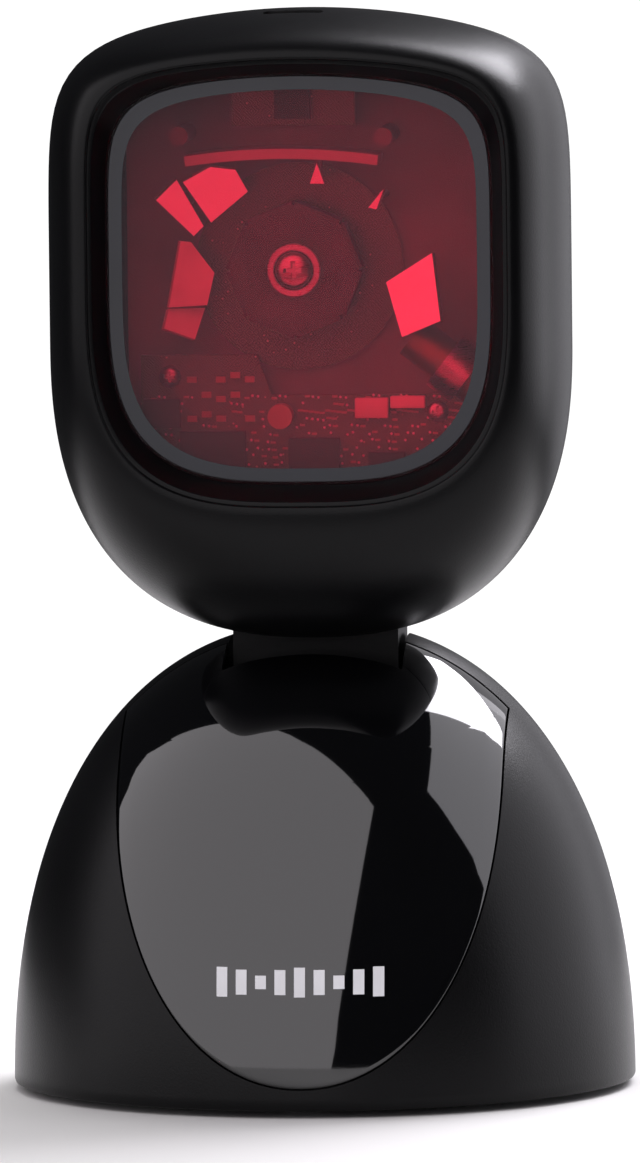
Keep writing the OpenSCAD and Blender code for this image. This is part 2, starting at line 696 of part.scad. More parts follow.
// Places what follows on the middle of a pattern mirror, with -Y out of its face
module on_mirror(m) {
    mid = middle(m[0]);
    turn = atan2(mid[1], mid[0]);
    translate([hub_x + mid[0], m[2], hub_z + mid[1]])
        rotate([0, -turn, 0]) rotate([0, 0, -m[1]]) rotate([0, turn, 0]) children();
}
module mirror_plate(m) {
    mid = middle(m[0]);
    color([0.85, 0.86, 0.9]) on_mirror(m) rotate([90, 0, 0])
        translate([-mid[0], -mid[1], -mirror_t / 2]) linear_extrude(mirror_t) polygon(m[0]);
}
module pattern_mirror_1() {
    mirror_plate(mirrors[0]);
}
module pattern_mirror_2() {
    mirror_plate(mirrors[1]);
}
module pattern_mirror_3() {
    mirror_plate(mirrors[2]);
}
module pattern_mirror_4() {
    mirror_plate(mirrors[3]);
}
module pattern_mirror_5() {
    mirror_plate(mirrors[4]);
}
module pattern_mirror_6() {
    mirror_plate(mirrors[5]);
    mirror_plate(mirrors[6]);
}
// Moulded posts that carry the pattern mirrors, and the two posts of the collecting mirror
module mirror_posts() {
    last = mirrors[6];
    color([0.1, 0.1, 0.11]) {
        for (p = post_at) difference() {
            rod_y([hub_x + p[0], hub_z + p[1]], post_r, -15, frame_y);
            rod_y([hub_x + p[0], hub_z + p[1]], 0.8, frame_y - 4, frame_y + past);
        }
        for (i = [0:5]) let (p = mirror_posts_at[i]) difference() {
            rod_y([hub_x + p[0], hub_z + p[1]], p[2], mirrors[i][2] - 3, frame_y);
            on_mirror(mirrors[i]) box([-9, -20, -9], [9, mirror_t / 2, 9]);
        }
        difference() {
            box([hub_x + 3, last[2] + 0.4, hub_z + 13], [hub_x + 4, last[2] + 2.2, hub_z + 15.2]);
            on_mirror(last) box([-9, -20, -9], [9, mirror_t / 2, 9]);
        }
    }
}
module collecting_mirror() {
    bend = 90;
    half = 8.4;
    color([0.85, 0.86, 0.9]) translate([hub_x - 1.4, -6, hub_z + 15.4 - bend])
        rotate([90, 0, 0]) rotate(90 - half) rotate_extrude(angle = 2 * half, $fn = 96)
        translate([bend, 0]) square([1.4, 9]);
}
module laser_module() {
    color([0.75, 0.6, 0.3]) laser_place() difference() {
        cylinder(r = laser_r, h = 11);
        translate([0, 0, 8.5]) cylinder(r = laser_r - 0.8, h = 4);
        translate([0, 0, -past]) cylinder(r = 1.2, h = 3);
    }
}
module laser_lens() {
    color([0.9, 0.9, 1, 0.6]) laser_place() translate([0, 0, 8.5]) cylinder(r = laser_r - 0.8, h = 1.5);
}
module laser_place() {
    translate([hub_x + laser_at[0], laser_y, hub_z + laser_at[1]]) rotate([0, -laser_turn, 0])
        translate([0, 0, -6]) children();
}
module laser_bracket() {
    color([0.5, 0.5, 0.52]) difference() {
        laser_place() union() {
            translate([0, 0, 1.5]) cylinder(r = laser_r + 1.2, h = 4);
            box([-1.6, laser_r - 0.5, 1.5], [1.6, frame_y - laser_y, 5.5]);
        }
        laser_place() translate([0, 0, -past]) cylinder(r = laser_r, h = 14);
    }
}
module detector_board() {
    color([0.05, 0.25, 0.12]) slab(frame_y - 3.6, frame_y - 2.4)
        translate([hub_x - 9, hub_z + 19.5]) square([17, 7]);
}
module photodiode() {
    color([0.15, 0.15, 0.2]) union() {
        slab(frame_y - 5, frame_y - 3.6) translate([hub_x - 3, hub_z + 20.5]) square([5, 4]);
        for (x = [-8, 6.6]) rod_y([hub_x + x, hub_z + 23], 0.8, frame_y - 2.4, frame_y);
    }
}
module main_board() {
    color([0.05, 0.25, 0.12]) difference() {
        slab(board_y, board_y + board_t) polygon([[-24, hub_z - 30], [-18, hub_z - 36.4], [16, hub_z - 36.4],
            [22, hub_z - 30], [22, hub_z - 17.6], [-6, hub_z - 17.6], [-8, hub_z - 12], [-24, hub_z - 12]]);
        for (p = board_screws_at) rod_y(p, 1, board_y - past, board_y + 3);
    }
}
module board_chips() {
    color([0.08, 0.08, 0.085]) for (c = [[-12, -27, 9, 9], [2, -27, 7, 7], [10, -19.4, 4.4, 2.6],
        [15, -18.6, 4.6, 1.5], [-19, -20, 5, 4], [12, -27.5, 5, 4]])
        slab(board_y - 1.4, board_y) translate([hub_x + c[0] - c[2] / 2, hub_z + c[1] - c[3] / 2])
        square([c[2], c[3]]);
}
// Rows of small resistors and capacitors, and three round capacitors
module board_passives() {
    color([0.55, 0.45, 0.35]) {
        for (i = [0:4], j = [0:2]) if ((i * 3 + j * 5) % 4 != 1)
            slab(board_y - 0.7, board_y) translate([-17.6 + i * 2, hub_z - 21.2 + j * 2.7 + (i % 2) * 0.6])
            square([1.3, 0.8]);
        for (p = [[18.8, hub_z - 26], [-4.6, hub_z - 20.4], [18.6, hub_z - 30.6]]) rod_y(p, 1.7, board_y - 3.4, board_y);
        for (i = [0:7]) slab(board_y - 0.7, board_y) translate([-13 + i * 3, hub_z - 35.6]) square([0.8, 1.4]);
    }
}
// Plug of the head's lead on the back of the main board
module board_plug() {
    color([0.9, 0.9, 0.86]) difference() {
        box([-3.6, board_y + board_t, hub_z - 36.8], [3.6, 2.2, hub_z - 32.8]);
        translate([0, 0, neck_top]) cylinder(r = cable_r, h = hub_z - 34.8 - neck_top);
    }
}
module board_screws() {
    color("silver") for (p = board_screws_at) mirror([0, 1, 0])
        screw_y(p, -board_y, 1.6, 1, 0.8, board_t + 2);
}
module beeper() {
    color([0.05, 0.05, 0.05]) difference() {
        rod_y([13, head_z - 17], 6, frame_y + frame_t, frame_y + frame_t + 6);
        rod_y([13, head_z - 17], 1, frame_y + frame_t + 3, frame_y + frame_t + 7);
    }
}
module motor_board() {
    color([0.04, 0.2, 0.1]) difference() {
        rod_y([hub_x, hub_z], motor_board_r, motor_board_y, frame_y);
        rod_y([hub_x, hub_z], bearing_r, motor_board_y - past, frame_y + past);
    }
}
module motor_stator() {
    color([0.7, 0.4, 0.2]) difference() {
        union() {
            rod_y([hub_x, hub_z], bearing_r + 1.2, motor_board_y - 3.6, motor_board_y);
            for (i = [0:5]) translate([hub_x, 0, hub_z]) rotate([0, i * 60, 0])
                box([0, motor_board_y - 3.4, -1], [stator_r - 0.3, motor_board_y - 0.6, 1]);
        }
        rod_y([hub_x, hub_z], bearing_r, motor_board_y - 5, motor_board_y + past);
    }
}
module motor_bearing() {
    color([0.7, 0.55, 0.3]) difference() {
        rod_y([hub_x, hub_z], bearing_r, bearing_front, frame_y + frame_t + 2.4);
        rod_y([hub_x, hub_z], spindle_r + 0.05, bearing_front - past, frame_y + frame_t + 3);
    }
}
// Lead from the tilt axis to the main board
module head_harness() {
    color([0.12, 0.12, 0.13]) translate([0, 0, hinge_z + cable_gap])
        cylinder(r = cable_r, h = hub_z - 34.8 - hinge_z - cable_gap);
}

// ---- Spinning mirror wheel ----
module polygon_wheel() {
    core = wheel_r * cos(180 / wheel_facets) - facet_t;
    color([0.3, 0.3, 0.32]) difference() {
        union() {
            translate([hub_x, wheel_y + wheel_t, hub_z]) rotate([90, 0, 0])
                cylinder(r = core / cos(180 / wheel_facets), h = wheel_t, $fn = wheel_facets);
            rod_y([hub_x, hub_z], 3.9, wheel_y - 0.6, wheel_y);
        }
        rod_y([hub_x, hub_z], spindle_r, wheel_y - 2, wheel_y + wheel_t + past);
    }
}
module wheel_mirrors() {
    flat = wheel_r * cos(180 / wheel_facets);
    w = flat * tan(180 / wheel_facets) - 0.35;
    color([0.9, 0.9, 0.94]) for (i = [0:wheel_facets - 1]) translate([hub_x, 0, hub_z])
        rotate([0, (i + 0.5) * 360 / wheel_facets, 0])
        box([flat - facet_t, wheel_y + 0.2, -w], [flat, wheel_y + wheel_t - 0.2, w]);
}
module rotor_magnet() {
    color([0.25, 0.25, 0.27]) difference() {
        rod_y([hub_x, hub_z], magnet_r, wheel_y + wheel_t, motor_board_y - 0.6);
        rod_y([hub_x, hub_z], magnet_r - magnet_wall, wheel_y + wheel_t + 0.6, motor_board_y);
        rod_y([hub_x, hub_z], spindle_r, wheel_y, motor_board_y);
    }
}
module spindle() {
    color([0.75, 0.75, 0.77]) difference() {
        rod_y([hub_x, hub_z], spindle_r, wheel_y - 0.6, frame_y + frame_t + 2);
        rod_y([hub_x, hub_z], hub_thread_r, wheel_y - past, wheel_y + 4);
    }
}
module hub_screw() {
    color([0.7, 0.7, 0.72]) mirror([0, 1, 0]) screw_y([hub_x, hub_z], -wheel_y + 0.6, 2.5, 1.3, hub_thread_r, 4);
}

base_shell();
front_panel();
panel_mark();
base_plate();
ballast_weight();
rubber_feet();
base_screws();
pivot_yoke();
yoke_screws();
pivot_pins();
pivot_nuts();
friction_washers();
socket_board();
modular_socket();
socket_contacts();
base_plug();
base_harness();
harness_clip();
neck_front();
neck_rear();
neck_screws();
head_front_cover();
head_rear_cover();
cover_seal();
head_screws();
scan_window();
window_seal();
optics_frame();
frame_screws();
pattern_mirror_1();
pattern_mirror_2();
pattern_mirror_3();
pattern_mirror_4();
pattern_mirror_5();
pattern_mirror_6();
mirror_posts();
collecting_mirror();
laser_module();
laser_lens();
laser_bracket();
detector_board();
photodiode();
main_board();
board_chips();
board_passives();
board_plug();
board_screws();
beeper();
status_board();
light_pipe();
motor_board();
motor_stator();
motor_bearing();
head_harness();
polygon_wheel();
wheel_mirrors();
rotor_magnet();
spindle();
hub_screw();
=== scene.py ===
"""Looks of a hands-free presentation scanner: shells, glossy panel, red window and scan engine."""

import json
import logging
import math
from collections.abc import Iterable, Sequence
from dataclasses import dataclass, field, replace
from enum import Enum

import bmesh
import bpy
from mathutils import Matrix, Vector


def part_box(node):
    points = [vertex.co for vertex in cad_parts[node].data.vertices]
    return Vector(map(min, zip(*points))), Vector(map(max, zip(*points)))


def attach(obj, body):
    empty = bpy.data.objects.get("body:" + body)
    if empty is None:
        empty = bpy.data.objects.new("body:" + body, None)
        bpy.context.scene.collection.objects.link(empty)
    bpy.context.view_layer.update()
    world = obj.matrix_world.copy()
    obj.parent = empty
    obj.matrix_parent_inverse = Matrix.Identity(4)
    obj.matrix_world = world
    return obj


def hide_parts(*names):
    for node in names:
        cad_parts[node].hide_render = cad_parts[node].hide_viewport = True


log = logging.getLogger("scanner")

Thing = bpy.types.Object
Tree = bpy.types.NodeTree
Node = bpy.types.Node
Wire = bpy.types.NodeSocket
Material = bpy.types.Material
Ring = list[tuple[float, float, float]]

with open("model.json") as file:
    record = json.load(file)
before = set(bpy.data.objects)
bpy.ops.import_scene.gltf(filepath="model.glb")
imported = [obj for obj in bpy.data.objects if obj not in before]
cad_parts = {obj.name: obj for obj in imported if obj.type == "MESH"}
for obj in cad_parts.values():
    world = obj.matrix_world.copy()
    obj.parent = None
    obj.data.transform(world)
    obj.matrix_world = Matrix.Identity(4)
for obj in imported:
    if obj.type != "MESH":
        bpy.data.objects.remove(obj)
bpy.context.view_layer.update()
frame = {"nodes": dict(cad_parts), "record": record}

MM = 0.001
QUARTER = math.pi / 2



class Body(Enum):
    """The moving bodies of the scanner."""

    BASE = "base"
    HEAD = "head"
    WHEEL = "polygon"


class Socket(Enum):
    """Kinds of input on a Geometry Nodes group."""

    FLOAT = "NodeSocketFloat"
    INT = "NodeSocketInt"
    VECTOR = "NodeSocketVector"
    MATERIAL = "NodeSocketMaterial"
    OBJECT = "NodeSocketObject"


# ---- Node helpers ----


def feed(tree: Tree, node: Node, values: dict[str | int, object]) -> Node:
    """Links or sets inputs of a node.

    Args:
        tree: The tree that holds the node.
        node: The node.
        values: A socket or a constant for each input, by its name or number.

    Returns:
        The node.
    """
    for key, value in values.items():
        if isinstance(value, Wire):
            tree.links.new(value, node.inputs[key])
        else:
            node.inputs[key].default_value = value
    return node


def add_node(
    tree: Tree, kind: str, values: dict[str | int, object] | None = None, **settings: object
) -> Node:
    """Adds a node to a tree.

    Args:
        tree: The tree that gets the node.
        kind: The node's type name.
        values: A socket or a constant for each input that is given one.
        settings: Properties of the node by name.

    Returns:
        The new node.
    """
    node = tree.nodes.new(kind)
    for name, setting in settings.items():
        setattr(node, name, setting)
    return feed(tree, node, values or {})


def math_node(tree: Tree, operation: str, *terms: object) -> Wire:
    """Adds a Math node.

    Args:
        tree: The tree that gets the node.
        operation: The operation's name, such as MULTIPLY.
        terms: A number or a socket for each input.

    Returns:
        The node's output socket.
    """
    return add_node(tree, "ShaderNodeMath", dict(enumerate(terms)), operation=operation).outputs[0]


def ramp_node(
    tree: Tree, value: Wire, low: float, high: float, out_low: float, out_high: float
) -> Wire:
    """Maps a value from one range to another, clamped.

    Args:
        tree: The tree that gets the node.
        value: The socket to map.
        low: Start of the range that comes in.
        high: End of the range that comes in.
        out_low: Result at low.
        out_high: Result at high.

    Returns:
        The mapped value.
    """
    ends = {"From Min": low, "From Max": high, "To Min": out_low, "To Max": out_high}
    return add_node(tree, "ShaderNodeMapRange", {"Value": value, **ends}).outputs["Result"]


def noise_node(
    tree: Tree, at: Wire, scale: float, detail: float = 3.0
) -> Wire:
    """Adds a Noise Texture on coordinates.

    Args:
        tree: The tree that gets the node.
        at: Coordinates in metres.
        scale: Cells per metre.
        detail: Octaves of the noise.

    Returns:
        The noise's value socket.
    """
    node = add_node(tree, "ShaderNodeTexNoise", {"Scale": scale, "Detail": detail, "Vector": at})
    return node.outputs["Fac"]


def mix_colour(
    tree: Tree, share: Wire, first: Sequence[float], second: Sequence[float]
) -> Wire:
    """Blends two colours by a socket.

    Args:
        tree: The tree that gets the node.
        share: How much of the second colour shows, from 0 to 1.
        first: Colour at 0.
        second: Colour at 1.

    Returns:
        The blended colour.
    """
    node = add_node(tree, "ShaderNodeMix", {
        "Factor": share,
        "A": (*first[:3], 1),
        "B": (*second[:3], 1),
    }, data_type="RGBA")
    return node.outputs["Result"]


# ---- Finishes ----


@dataclass(frozen=True)
class Finish:
    """What every finish of the scanner has in common."""

    name: str
    colour: tuple[float, float, float]
    roughness: float = 0.4
    specular: float = 0.5

    def start(self) -> tuple[Material, Tree, Node, Wire]:
        """Starts a material.

        Returns:
            The material, its tree, its shader and Object coordinates.
        """
        material = bpy.data.materials.new(self.name)
        material.use_nodes = True
        tree = material.node_tree
        shader = tree.nodes["Principled BSDF"]
        feed(tree, shader, {
            "Base Color": (*self.colour, 1),
            "Roughness": self.roughness,
            "Specular IOR Level": self.specular,
        })
        at = add_node(tree, "ShaderNodeTexCoord").outputs["Object"]
        return material, tree, shader, at

    def mottle(
        self, tree: Tree, shader: Node, noise: Wire, share: float, low: float = 0.3, high: float = 0.7
    ) -> None:
        """Colours the shader in soft patches.

        Args:
            tree: The material's tree.
            shader: The shader that takes the colour.
            noise: The noise that lays out the patches.
            share: Brightness of the patches against the finish's colour.
            low: Noise at which the patches begin.
            high: Noise at which they show in full.
        """
        tint = ramp_node(tree, noise, low, high, 0, 1)
        patch = [c * share for c in self.colour]
        feed(tree, shader, {"Base Color": mix_colour(tree, tint, self.colour, patch)})

    def bump(self, tree: Tree, shader: Node, height: Wire, depth: float) -> None:
        """Gives the shader a relief.

        Args:
            tree: The material's tree.
            shader: The shader that takes the normal.
            height: Height from 0 to 1.
            depth: Depth of the relief in metres.
        """
        node = add_node(tree, "ShaderNodeBump", {"Distance": depth, "Height": height})
        feed(tree, shader, {"Normal": node.outputs["Normal"]})

    def build(self) -> Material:
        """Makes the material."""
        raise NotImplementedError


@dataclass(frozen=True)
class MouldedPlastic(Finish):
    """Plastic with the fine spark grain of a moulding tool."""

    grain_size: float = 0.28 * MM
    grain_depth: float = 0.02 * MM
    variation: float = 0.25

    def build(self) -> Material:
        """Makes the material."""
        material, tree, shader, at = self.start()
        broad = noise_node(tree, at, 60, 4)
        tint = ramp_node(tree, broad, 0.3, 0.7, 0, 1)
        pale = [c * (1 + self.variation) for c in self.colour]
        deep = [c * (1 - self.variation) for c in self.colour]
        feed(tree, shader, {"Base Color": mix_colour(tree, tint, deep, pale)})
        grain = noise_node(tree, at, 1 / self.grain_size, 2)
        smudge = noise_node(tree, at, 25, 3)
        rough = math_node(tree, "MULTIPLY_ADD", smudge, 0.08, self.roughness - 0.04)
        rough = math_node(tree, "MULTIPLY_ADD", grain, 0.08, rough)
        feed(tree, shader, {"Roughness": math_node(tree, "ADD", rough, -0.04)})
        self.bump(tree, shader, grain, self.grain_depth)
        return material


@dataclass(frozen=True)
class PolishedPlastic(Finish):
    """Polished plastic with faint waves and hairline wiping marks."""

    wave: float = 0.004 * MM

    def build(self) -> Material:
        """Makes the material."""
        material, tree, shader, at = self.start()
        stretch = add_node(tree, "ShaderNodeMapping", {"Scale": (1, 1, 9), "Vector": at})
        hairs = noise_node(tree, stretch.outputs["Vector"], 420, 6)
        dust = noise_node(tree, at, 2600, 1)
        rough = ramp_node(tree, hairs, 0.62, 0.8, self.roughness, self.roughness + 0.05)
        specks = ramp_node(tree, dust, 0.76, 0.8, 0, 0.12)
        feed(tree, shader, {"Roughness": math_node(tree, "ADD", rough, specks)})
        self.mottle(tree, shader, noise_node(tree, at, 40, 3), 1.4)
        self.bump(tree, shader, noise_node(tree, at, 90, 2), self.wave)
        return material


@dataclass(frozen=True)
class Metal(Finish):
    """Metal with fine working marks along one axis."""

    marks: tuple[float, float, float] = (1, 1, 12)
    mark_depth: float = 0.004 * MM

    def build(self) -> Material:
        """Makes the material."""
        material, tree, shader, at = self.start()
        feed(tree, shader, {"Metallic": 1})
        stretch = add_node(tree, "ShaderNodeMapping", {"Scale": self.marks, "Vector": at})
        lines = noise_node(tree, stretch.outputs["Vector"], 900, 4)
        rough = ramp_node(tree, lines, 0.3, 0.7, self.roughness - 0.08, self.roughness + 0.12)
        feed(tree, shader, {"Roughness": rough})
        self.mottle(tree, shader, noise_node(tree, at, 180, 4), 0.72, 0.35)
        self.bump(tree, shader, lines, self.mark_depth)
        return material


@dataclass(frozen=True)
class Mirror(Finish):
    """Front-surface mirror with a little haze, or, with its silvering at zero, a white plate whose pale
    colour is a painted reflection.
    """

    silvering: float = 0.8

    def build(self) -> Material:
        """Makes the material."""
        material, tree, shader, at = self.start()
        feed(tree, shader, {"Metallic": self.silvering})
        smears = noise_node(tree, at, 300, 4)
        haze = ramp_node(tree, smears, 0.45, 0.8, self.roughness, self.roughness + 0.12)
        feed(tree, shader, {"Roughness": haze})
        self.mottle(tree, shader, noise_node(tree, at, 160, 3), 0.86, 0.4, 0.75)
        return material


@dataclass(frozen=True)
class ColouredGlass(Finish):
    """Clear or tinted glass that lets lamps light what is behind it, with a thin pale diffuse layer that is
    partly dust and partly a painted reflection veil.
    """

    haze: float = 0.035
    bend: float = 1.13

    def build(self) -> Material:
        """Makes the material."""
        material, tree, shader, at = self.start()
        feed(tree, shader, {"Transmission Weight": 1, "IOR": self.bend})
        self.mottle(tree, shader, noise_node(tree, at, 30, 2), 0.94)
        smears = noise_node(tree, at, 120, 5)
        wipe = ramp_node(tree, smears, 0.55, 0.8, self.roughness, self.roughness + 0.03)
        feed(tree, shader, {"Roughness": wipe})
        # Pale diffuse layer mixed in by haze: partly dust, partly a painted reflection, a grey veil in place
        # of the lit studio front mirrored in the glass
        dust = add_node(tree, "ShaderNodeBsdfDiffuse", {"Color": (0.55, 0.53, 0.6, 1)})
        glass_with_painted_veil = add_node(tree, "ShaderNodeMixShader", {
            "Fac": self.haze,
            1: shader.outputs["BSDF"],
            2: dust.outputs["BSDF"],
        })
        clear = add_node(tree, "ShaderNodeBsdfTransparent", {"Color": (*self.colour, 1)})
        either = add_node(tree, "ShaderNodeMixShader")
        lamps = add_node(tree, "ShaderNodeLightPath").outputs["Is Shadow Ray"]
        feed(tree, either, {"Fac": lamps, 1: glass_with_painted_veil.outputs["Shader"], 2: clear.outputs["BSDF"]})
        feed(tree, tree.nodes["Material Output"], {"Surface": either.outputs["Shader"]})
        return material


@dataclass(frozen=True)
class CircuitBoard(Finish):
    """Solder mask over copper tracks, with a fine weave of glass fibre."""

    pad: tuple[float, float, float] = (0.6, 0.55, 0.4)
    track_pitch: float = 1.3 * MM

    def build(self) -> Material:
        """Makes the material."""
        material, tree, shader, at = self.start()
        feed(tree, shader, {"Coat Weight": 0.4})
        cells = add_node(tree, "ShaderNodeTexVoronoi", {
            "Scale": 1 / self.track_pitch,
            "Vector": at,
        }, feature="F1", distance="MANHATTAN")
        bands = math_node(tree, "PINGPONG", cells.outputs["Distance"], 0.16)
        tracks = ramp_node(tree, bands, 0.05, 0.09, 0, 1)
        mask = mix_colour(tree, tracks, self.colour, [c * 2.4 for c in self.colour])
        dots = ramp_node(tree, cells.outputs["Distance"], 0.1, 0.14, 1, 0)
        paint = add_node(tree, "ShaderNodeMix", {
            "Factor": dots,
            "A": mask,
            "B": (*self.pad, 1),
        }, data_type="RGBA")
        feed(tree, shader, {
            "Base Color": paint.outputs["Result"],
            "Metallic": math_node(tree, "MULTIPLY", dots, 0.8),
        })
        self.bump(tree, shader, tracks, 0.03 * MM)
        return material


@dataclass(frozen=True)
class StudioFloor(Finish):
    """Pale matt paper under and behind the scanner."""

    def build(self) -> Material:
        """Makes the material."""
        material, tree, shader, at = self.start()
        self.mottle(tree, shader, noise_node(tree, at, 3, 2), 0.985)
        return material


class Workshop:
    """Keeps one material for each of the record's slots, and a few more for added pieces."""

    def __init__(self) -> None:
        """Builds every finish of the scanner."""
        black = (0.0016, 0.0016, 0.0019)
        finishes = [
            MouldedPlastic("shell_plastic", black, 0.32, 0.14),
            PolishedPlastic("panel_gloss", (0.0012, 0.0012, 0.0015), 0.035, 0.75),
            PolishedPlastic("mark_ink", (0.5, 0.5, 0.52), 0.3, 0.5),
            MouldedPlastic("neck_plastic", (0.0015, 0.0015, 0.0018), 0.45, 0.12),
            MouldedPlastic("inner_plastic", (0.2, 0.2, 0.21), 0.5, 0.4),
            Metal("steel", (0.6, 0.6, 0.62), 0.3),
            Metal("ballast_iron", (0.22, 0.22, 0.23), 0.6, mark_depth=0.03 * MM),
            MouldedPlastic("foot_rubber", (0.012, 0.012, 0.012), 0.75, 0.3),
            MouldedPlastic("seal_rubber", (0.006, 0.006, 0.006), 0.8, 0.2),
            CircuitBoard("board_green", (0.05, 0.16, 0.07), 0.35),
            MouldedPlastic("socket_black", (0.012, 0.012, 0.012), 0.4),
            Metal("contact_gold", (0.9, 0.62, 0.24), 0.22),
            MouldedPlastic("plug_nylon", (0.62, 0.6, 0.53), 0.45),
            MouldedPlastic("cable_sheath", (0.015, 0.015, 0.016), 0.5),
            ColouredGlass("window_red", (0.97, 0.14, 0.24), 0.0, 0.5),
            Mirror("mirror_glass", (0.93, 0.93, 0.95), 0.03),
            # White unsilvered plate: its pale colour is a painted reflection, standing in for the bright
            # glare of two pattern mirrors
            Mirror("mirror_painted_reflection", (0.98, 0.98, 1), 0.4, silvering=0.0),
            MouldedPlastic("ground_glass", (0.62, 0.62, 0.64), 0.5),
            MouldedPlastic("solder_tin", (0.75, 0.75, 0.76), 0.3, 0.8),
            # Brass kept much darker than its own colour so that the laser shows no highlight: painted shade
            Metal("laser_brass", (0.3, 0.22, 0.12), 0.45),
            ColouredGlass("lens_clear", (0.9, 0.93, 0.95), 0.02),
            MouldedPlastic("chip_black", (0.014, 0.014, 0.016), 0.45, grain_depth=0.01 * MM),
            MouldedPlastic("passive_ceramic", (0.42, 0.34, 0.25), 0.4),
            Metal("bronze", (0.62, 0.42, 0.2), 0.4),
            Metal("motor_copper", (0.72, 0.34, 0.14), 0.3, marks=(12, 1, 12)),
            Metal("wheel_metal", (0.1, 0.1, 0.105), 0.45),
            Metal("magnet_dark", (0.09, 0.09, 0.1), 0.55),
            PolishedPlastic("window_print", (0.013, 0.0135, 0.018), 0.12, 0.3),
            StudioFloor("paper_floor", (0.58, 0.575, 0.57), 0.7, 0.1),
        ]
        self.materials = {finish.name: finish.build() for finish in finishes}
        self.slots = {row["node"]: row["material_slot"] for row in frame["record"]["subparts"]}

    def dress(self, piece: Thing, slot: str) -> Thing:
        """Puts one material on a whole piece.

        Args:
            piece: The piece to dress.
            slot: The material's name.

        Returns:
            The piece.
        """
        piece.data.materials.clear()
        piece.data.materials.append(self.materials[slot])
        return piece

    def dress_cad(self) -> None:
        """Puts the record's materials on the nodes that are shown as they are."""
        for name, node in frame["nodes"].items():
            self.dress(node, self.slots[name])
        self.dress(frame["nodes"]["collecting_mirror"], "ground_glass")
        self.dress(frame["nodes"]["wheel_mirrors"], "wheel_metal")
        # Pattern mirrors 3 and 4 wear the white plate: a painted reflection, lit by the lamps through the
        # window in place of what their mirrors reflect
        for name in ("pattern_mirror_3", "pattern_mirror_4"):
            self.dress(frame["nodes"][name], "mirror_painted_reflection")


# ---- Mesh helpers ----


def power(value: float, exponent: float) -> float:
    """Raises a number's size to a power and keeps its sign."""
    return math.copysign(abs(value) ** exponent, value)


def show(name: str, data: bpy.types.ID) -> Thing:
    """Puts data into the scene as an object."""
    thing = bpy.data.objects.new(name, data)
    bpy.context.scene.collection.objects.link(thing)
    return thing


def new_piece(name: str, verts: Iterable[Sequence[float]], faces: Iterable[Sequence[int]]) -> Thing:
    """Makes an object from corners in millimetres.

    Args:
        name: The object's name.
        verts: Corners in millimetres.
        faces: Corner numbers of each face.

    Returns:
        The object, with its normals outwards.
    """
    mesh = bpy.data.meshes.new(name)
    mesh.from_pydata([[c * MM for c in v] for v in verts], [], list(faces))
    piece = show(name, mesh)
    tidy_normals(piece)
    return piece


def tidy_normals(piece: Thing) -> None:
    """Turns a closed piece's normals outwards."""
    work = bmesh.new()
    work.from_mesh(piece.data)
    bmesh.ops.recalc_face_normals(work, faces=work.faces)
    work.to_mesh(piece.data)
    work.free()


def smooth(piece: Thing, angle: float = 32) -> Thing:
    """Shades a piece smooth, with sharp edges past an angle.

    Args:
        piece: The piece to shade.
        angle: Least angle of a sharp edge, in degrees.

    Returns:
        The piece.
    """
    piece.data.shade_smooth()
    piece.data.set_sharp_from_angle(angle=math.radians(angle))
    return piece


def skin(name: str, rings: Sequence[Ring], looped: bool = False) -> Thing:
    """Covers a list of closed rings with faces.

    Args:
        name: The object's name.
        rings: Rings of equally many points, in millimetres.
        looped: Whether the last ring joins the first. If not, both ends are capped.

    Returns:
        The closed piece.
    """
    count, total = len(rings[0]), len(rings)
    faces: list[list[int]] = []
    for j in range(total if looped else total - 1):
        a, b = j * count, (j + 1) % total * count
        faces += [[a + i, a + (i + 1) % count, b + (i + 1) % count, b + i] for i in range(count)]
    if not looped:
        faces += [list(range(count)), list(range((total - 1) * count, total * count))]
    return new_piece(name, [p for ring in rings for p in ring], faces)


def lathe(
    name: str, profile: Sequence[tuple[float, float]], count: int = 96, closed: bool = False
) -> Thing:
    """Turns a profile of radius and height about Z.

    Args:
        name: The object's name.
        profile: Radius and height of each ring, in millimetres.
        count: Points round the axis.
        closed: Whether the profile's last point joins its first.

    Returns:
        The closed piece.
    """
    around = [2 * math.pi * i / count for i in range(count)]
    rings = [[(r * math.cos(t), r * math.sin(t), z) for t in around] for r, z in profile]
    return skin(name, rings, closed)


def circle(x: float, z: float, r: float, count: int) -> list[tuple[float, float]]:
    """Points round a circle.

    Args:
        x: Middle of the circle.
        z: Middle of the circle.
        r: Its radius.
        count: How many points.

    Returns:
        Both coordinates of each point.
    """
    angles = [i * 2 * math.pi / count for i in range(count)]
    return [(x + r * math.cos(t), z + r * math.sin(t)) for t in angles]


def prism(
    name: str, outline: Sequence[tuple[float, float]], low: float, high: float, axis: str
) -> Thing:
    """Draws a flat outline out along an axis.

    Args:
        name: The object's name.
        outline: Corners in the two other axes, in their order.
        low: Start along the axis, in millimetres.
        high: End along the axis, in millimetres.
        axis: X, Y or Z.

    Returns:
        The closed piece.
    """
    places = {"X": lambda p, d: (d, *p), "Y": lambda p, d: (p[0], d, p[1]), "Z": lambda p, d: (*p, d)}
    place = places[axis]
    return skin(name, [[place(p, d) for p in outline] for d in (low, high)])


def block(name: str, low: Sequence[float], high: Sequence[float], edge: float = 0.0) -> Thing:
    """Makes a box with rounded edges.

    Args:
        name: The object's name.
        low: Lowest corner in millimetres.
        high: Highest corner in millimetres.
        edge: Radius of its edges in millimetres.

    Returns:
        The box.
    """
    corners = [(low[0], low[1]), (high[0], low[1]), (high[0], high[1]), (low[0], high[1])]
    piece = prism(name, corners, low[2], high[2], "Z")
    if edge:
        work = bmesh.new()
        work.from_mesh(piece.data)
        bmesh.ops.bevel(work, geom=work.edges[:], offset=edge * MM, segments=3, profile=0.5, affect="EDGES")
        work.to_mesh(piece.data)
        work.free()
    return piece


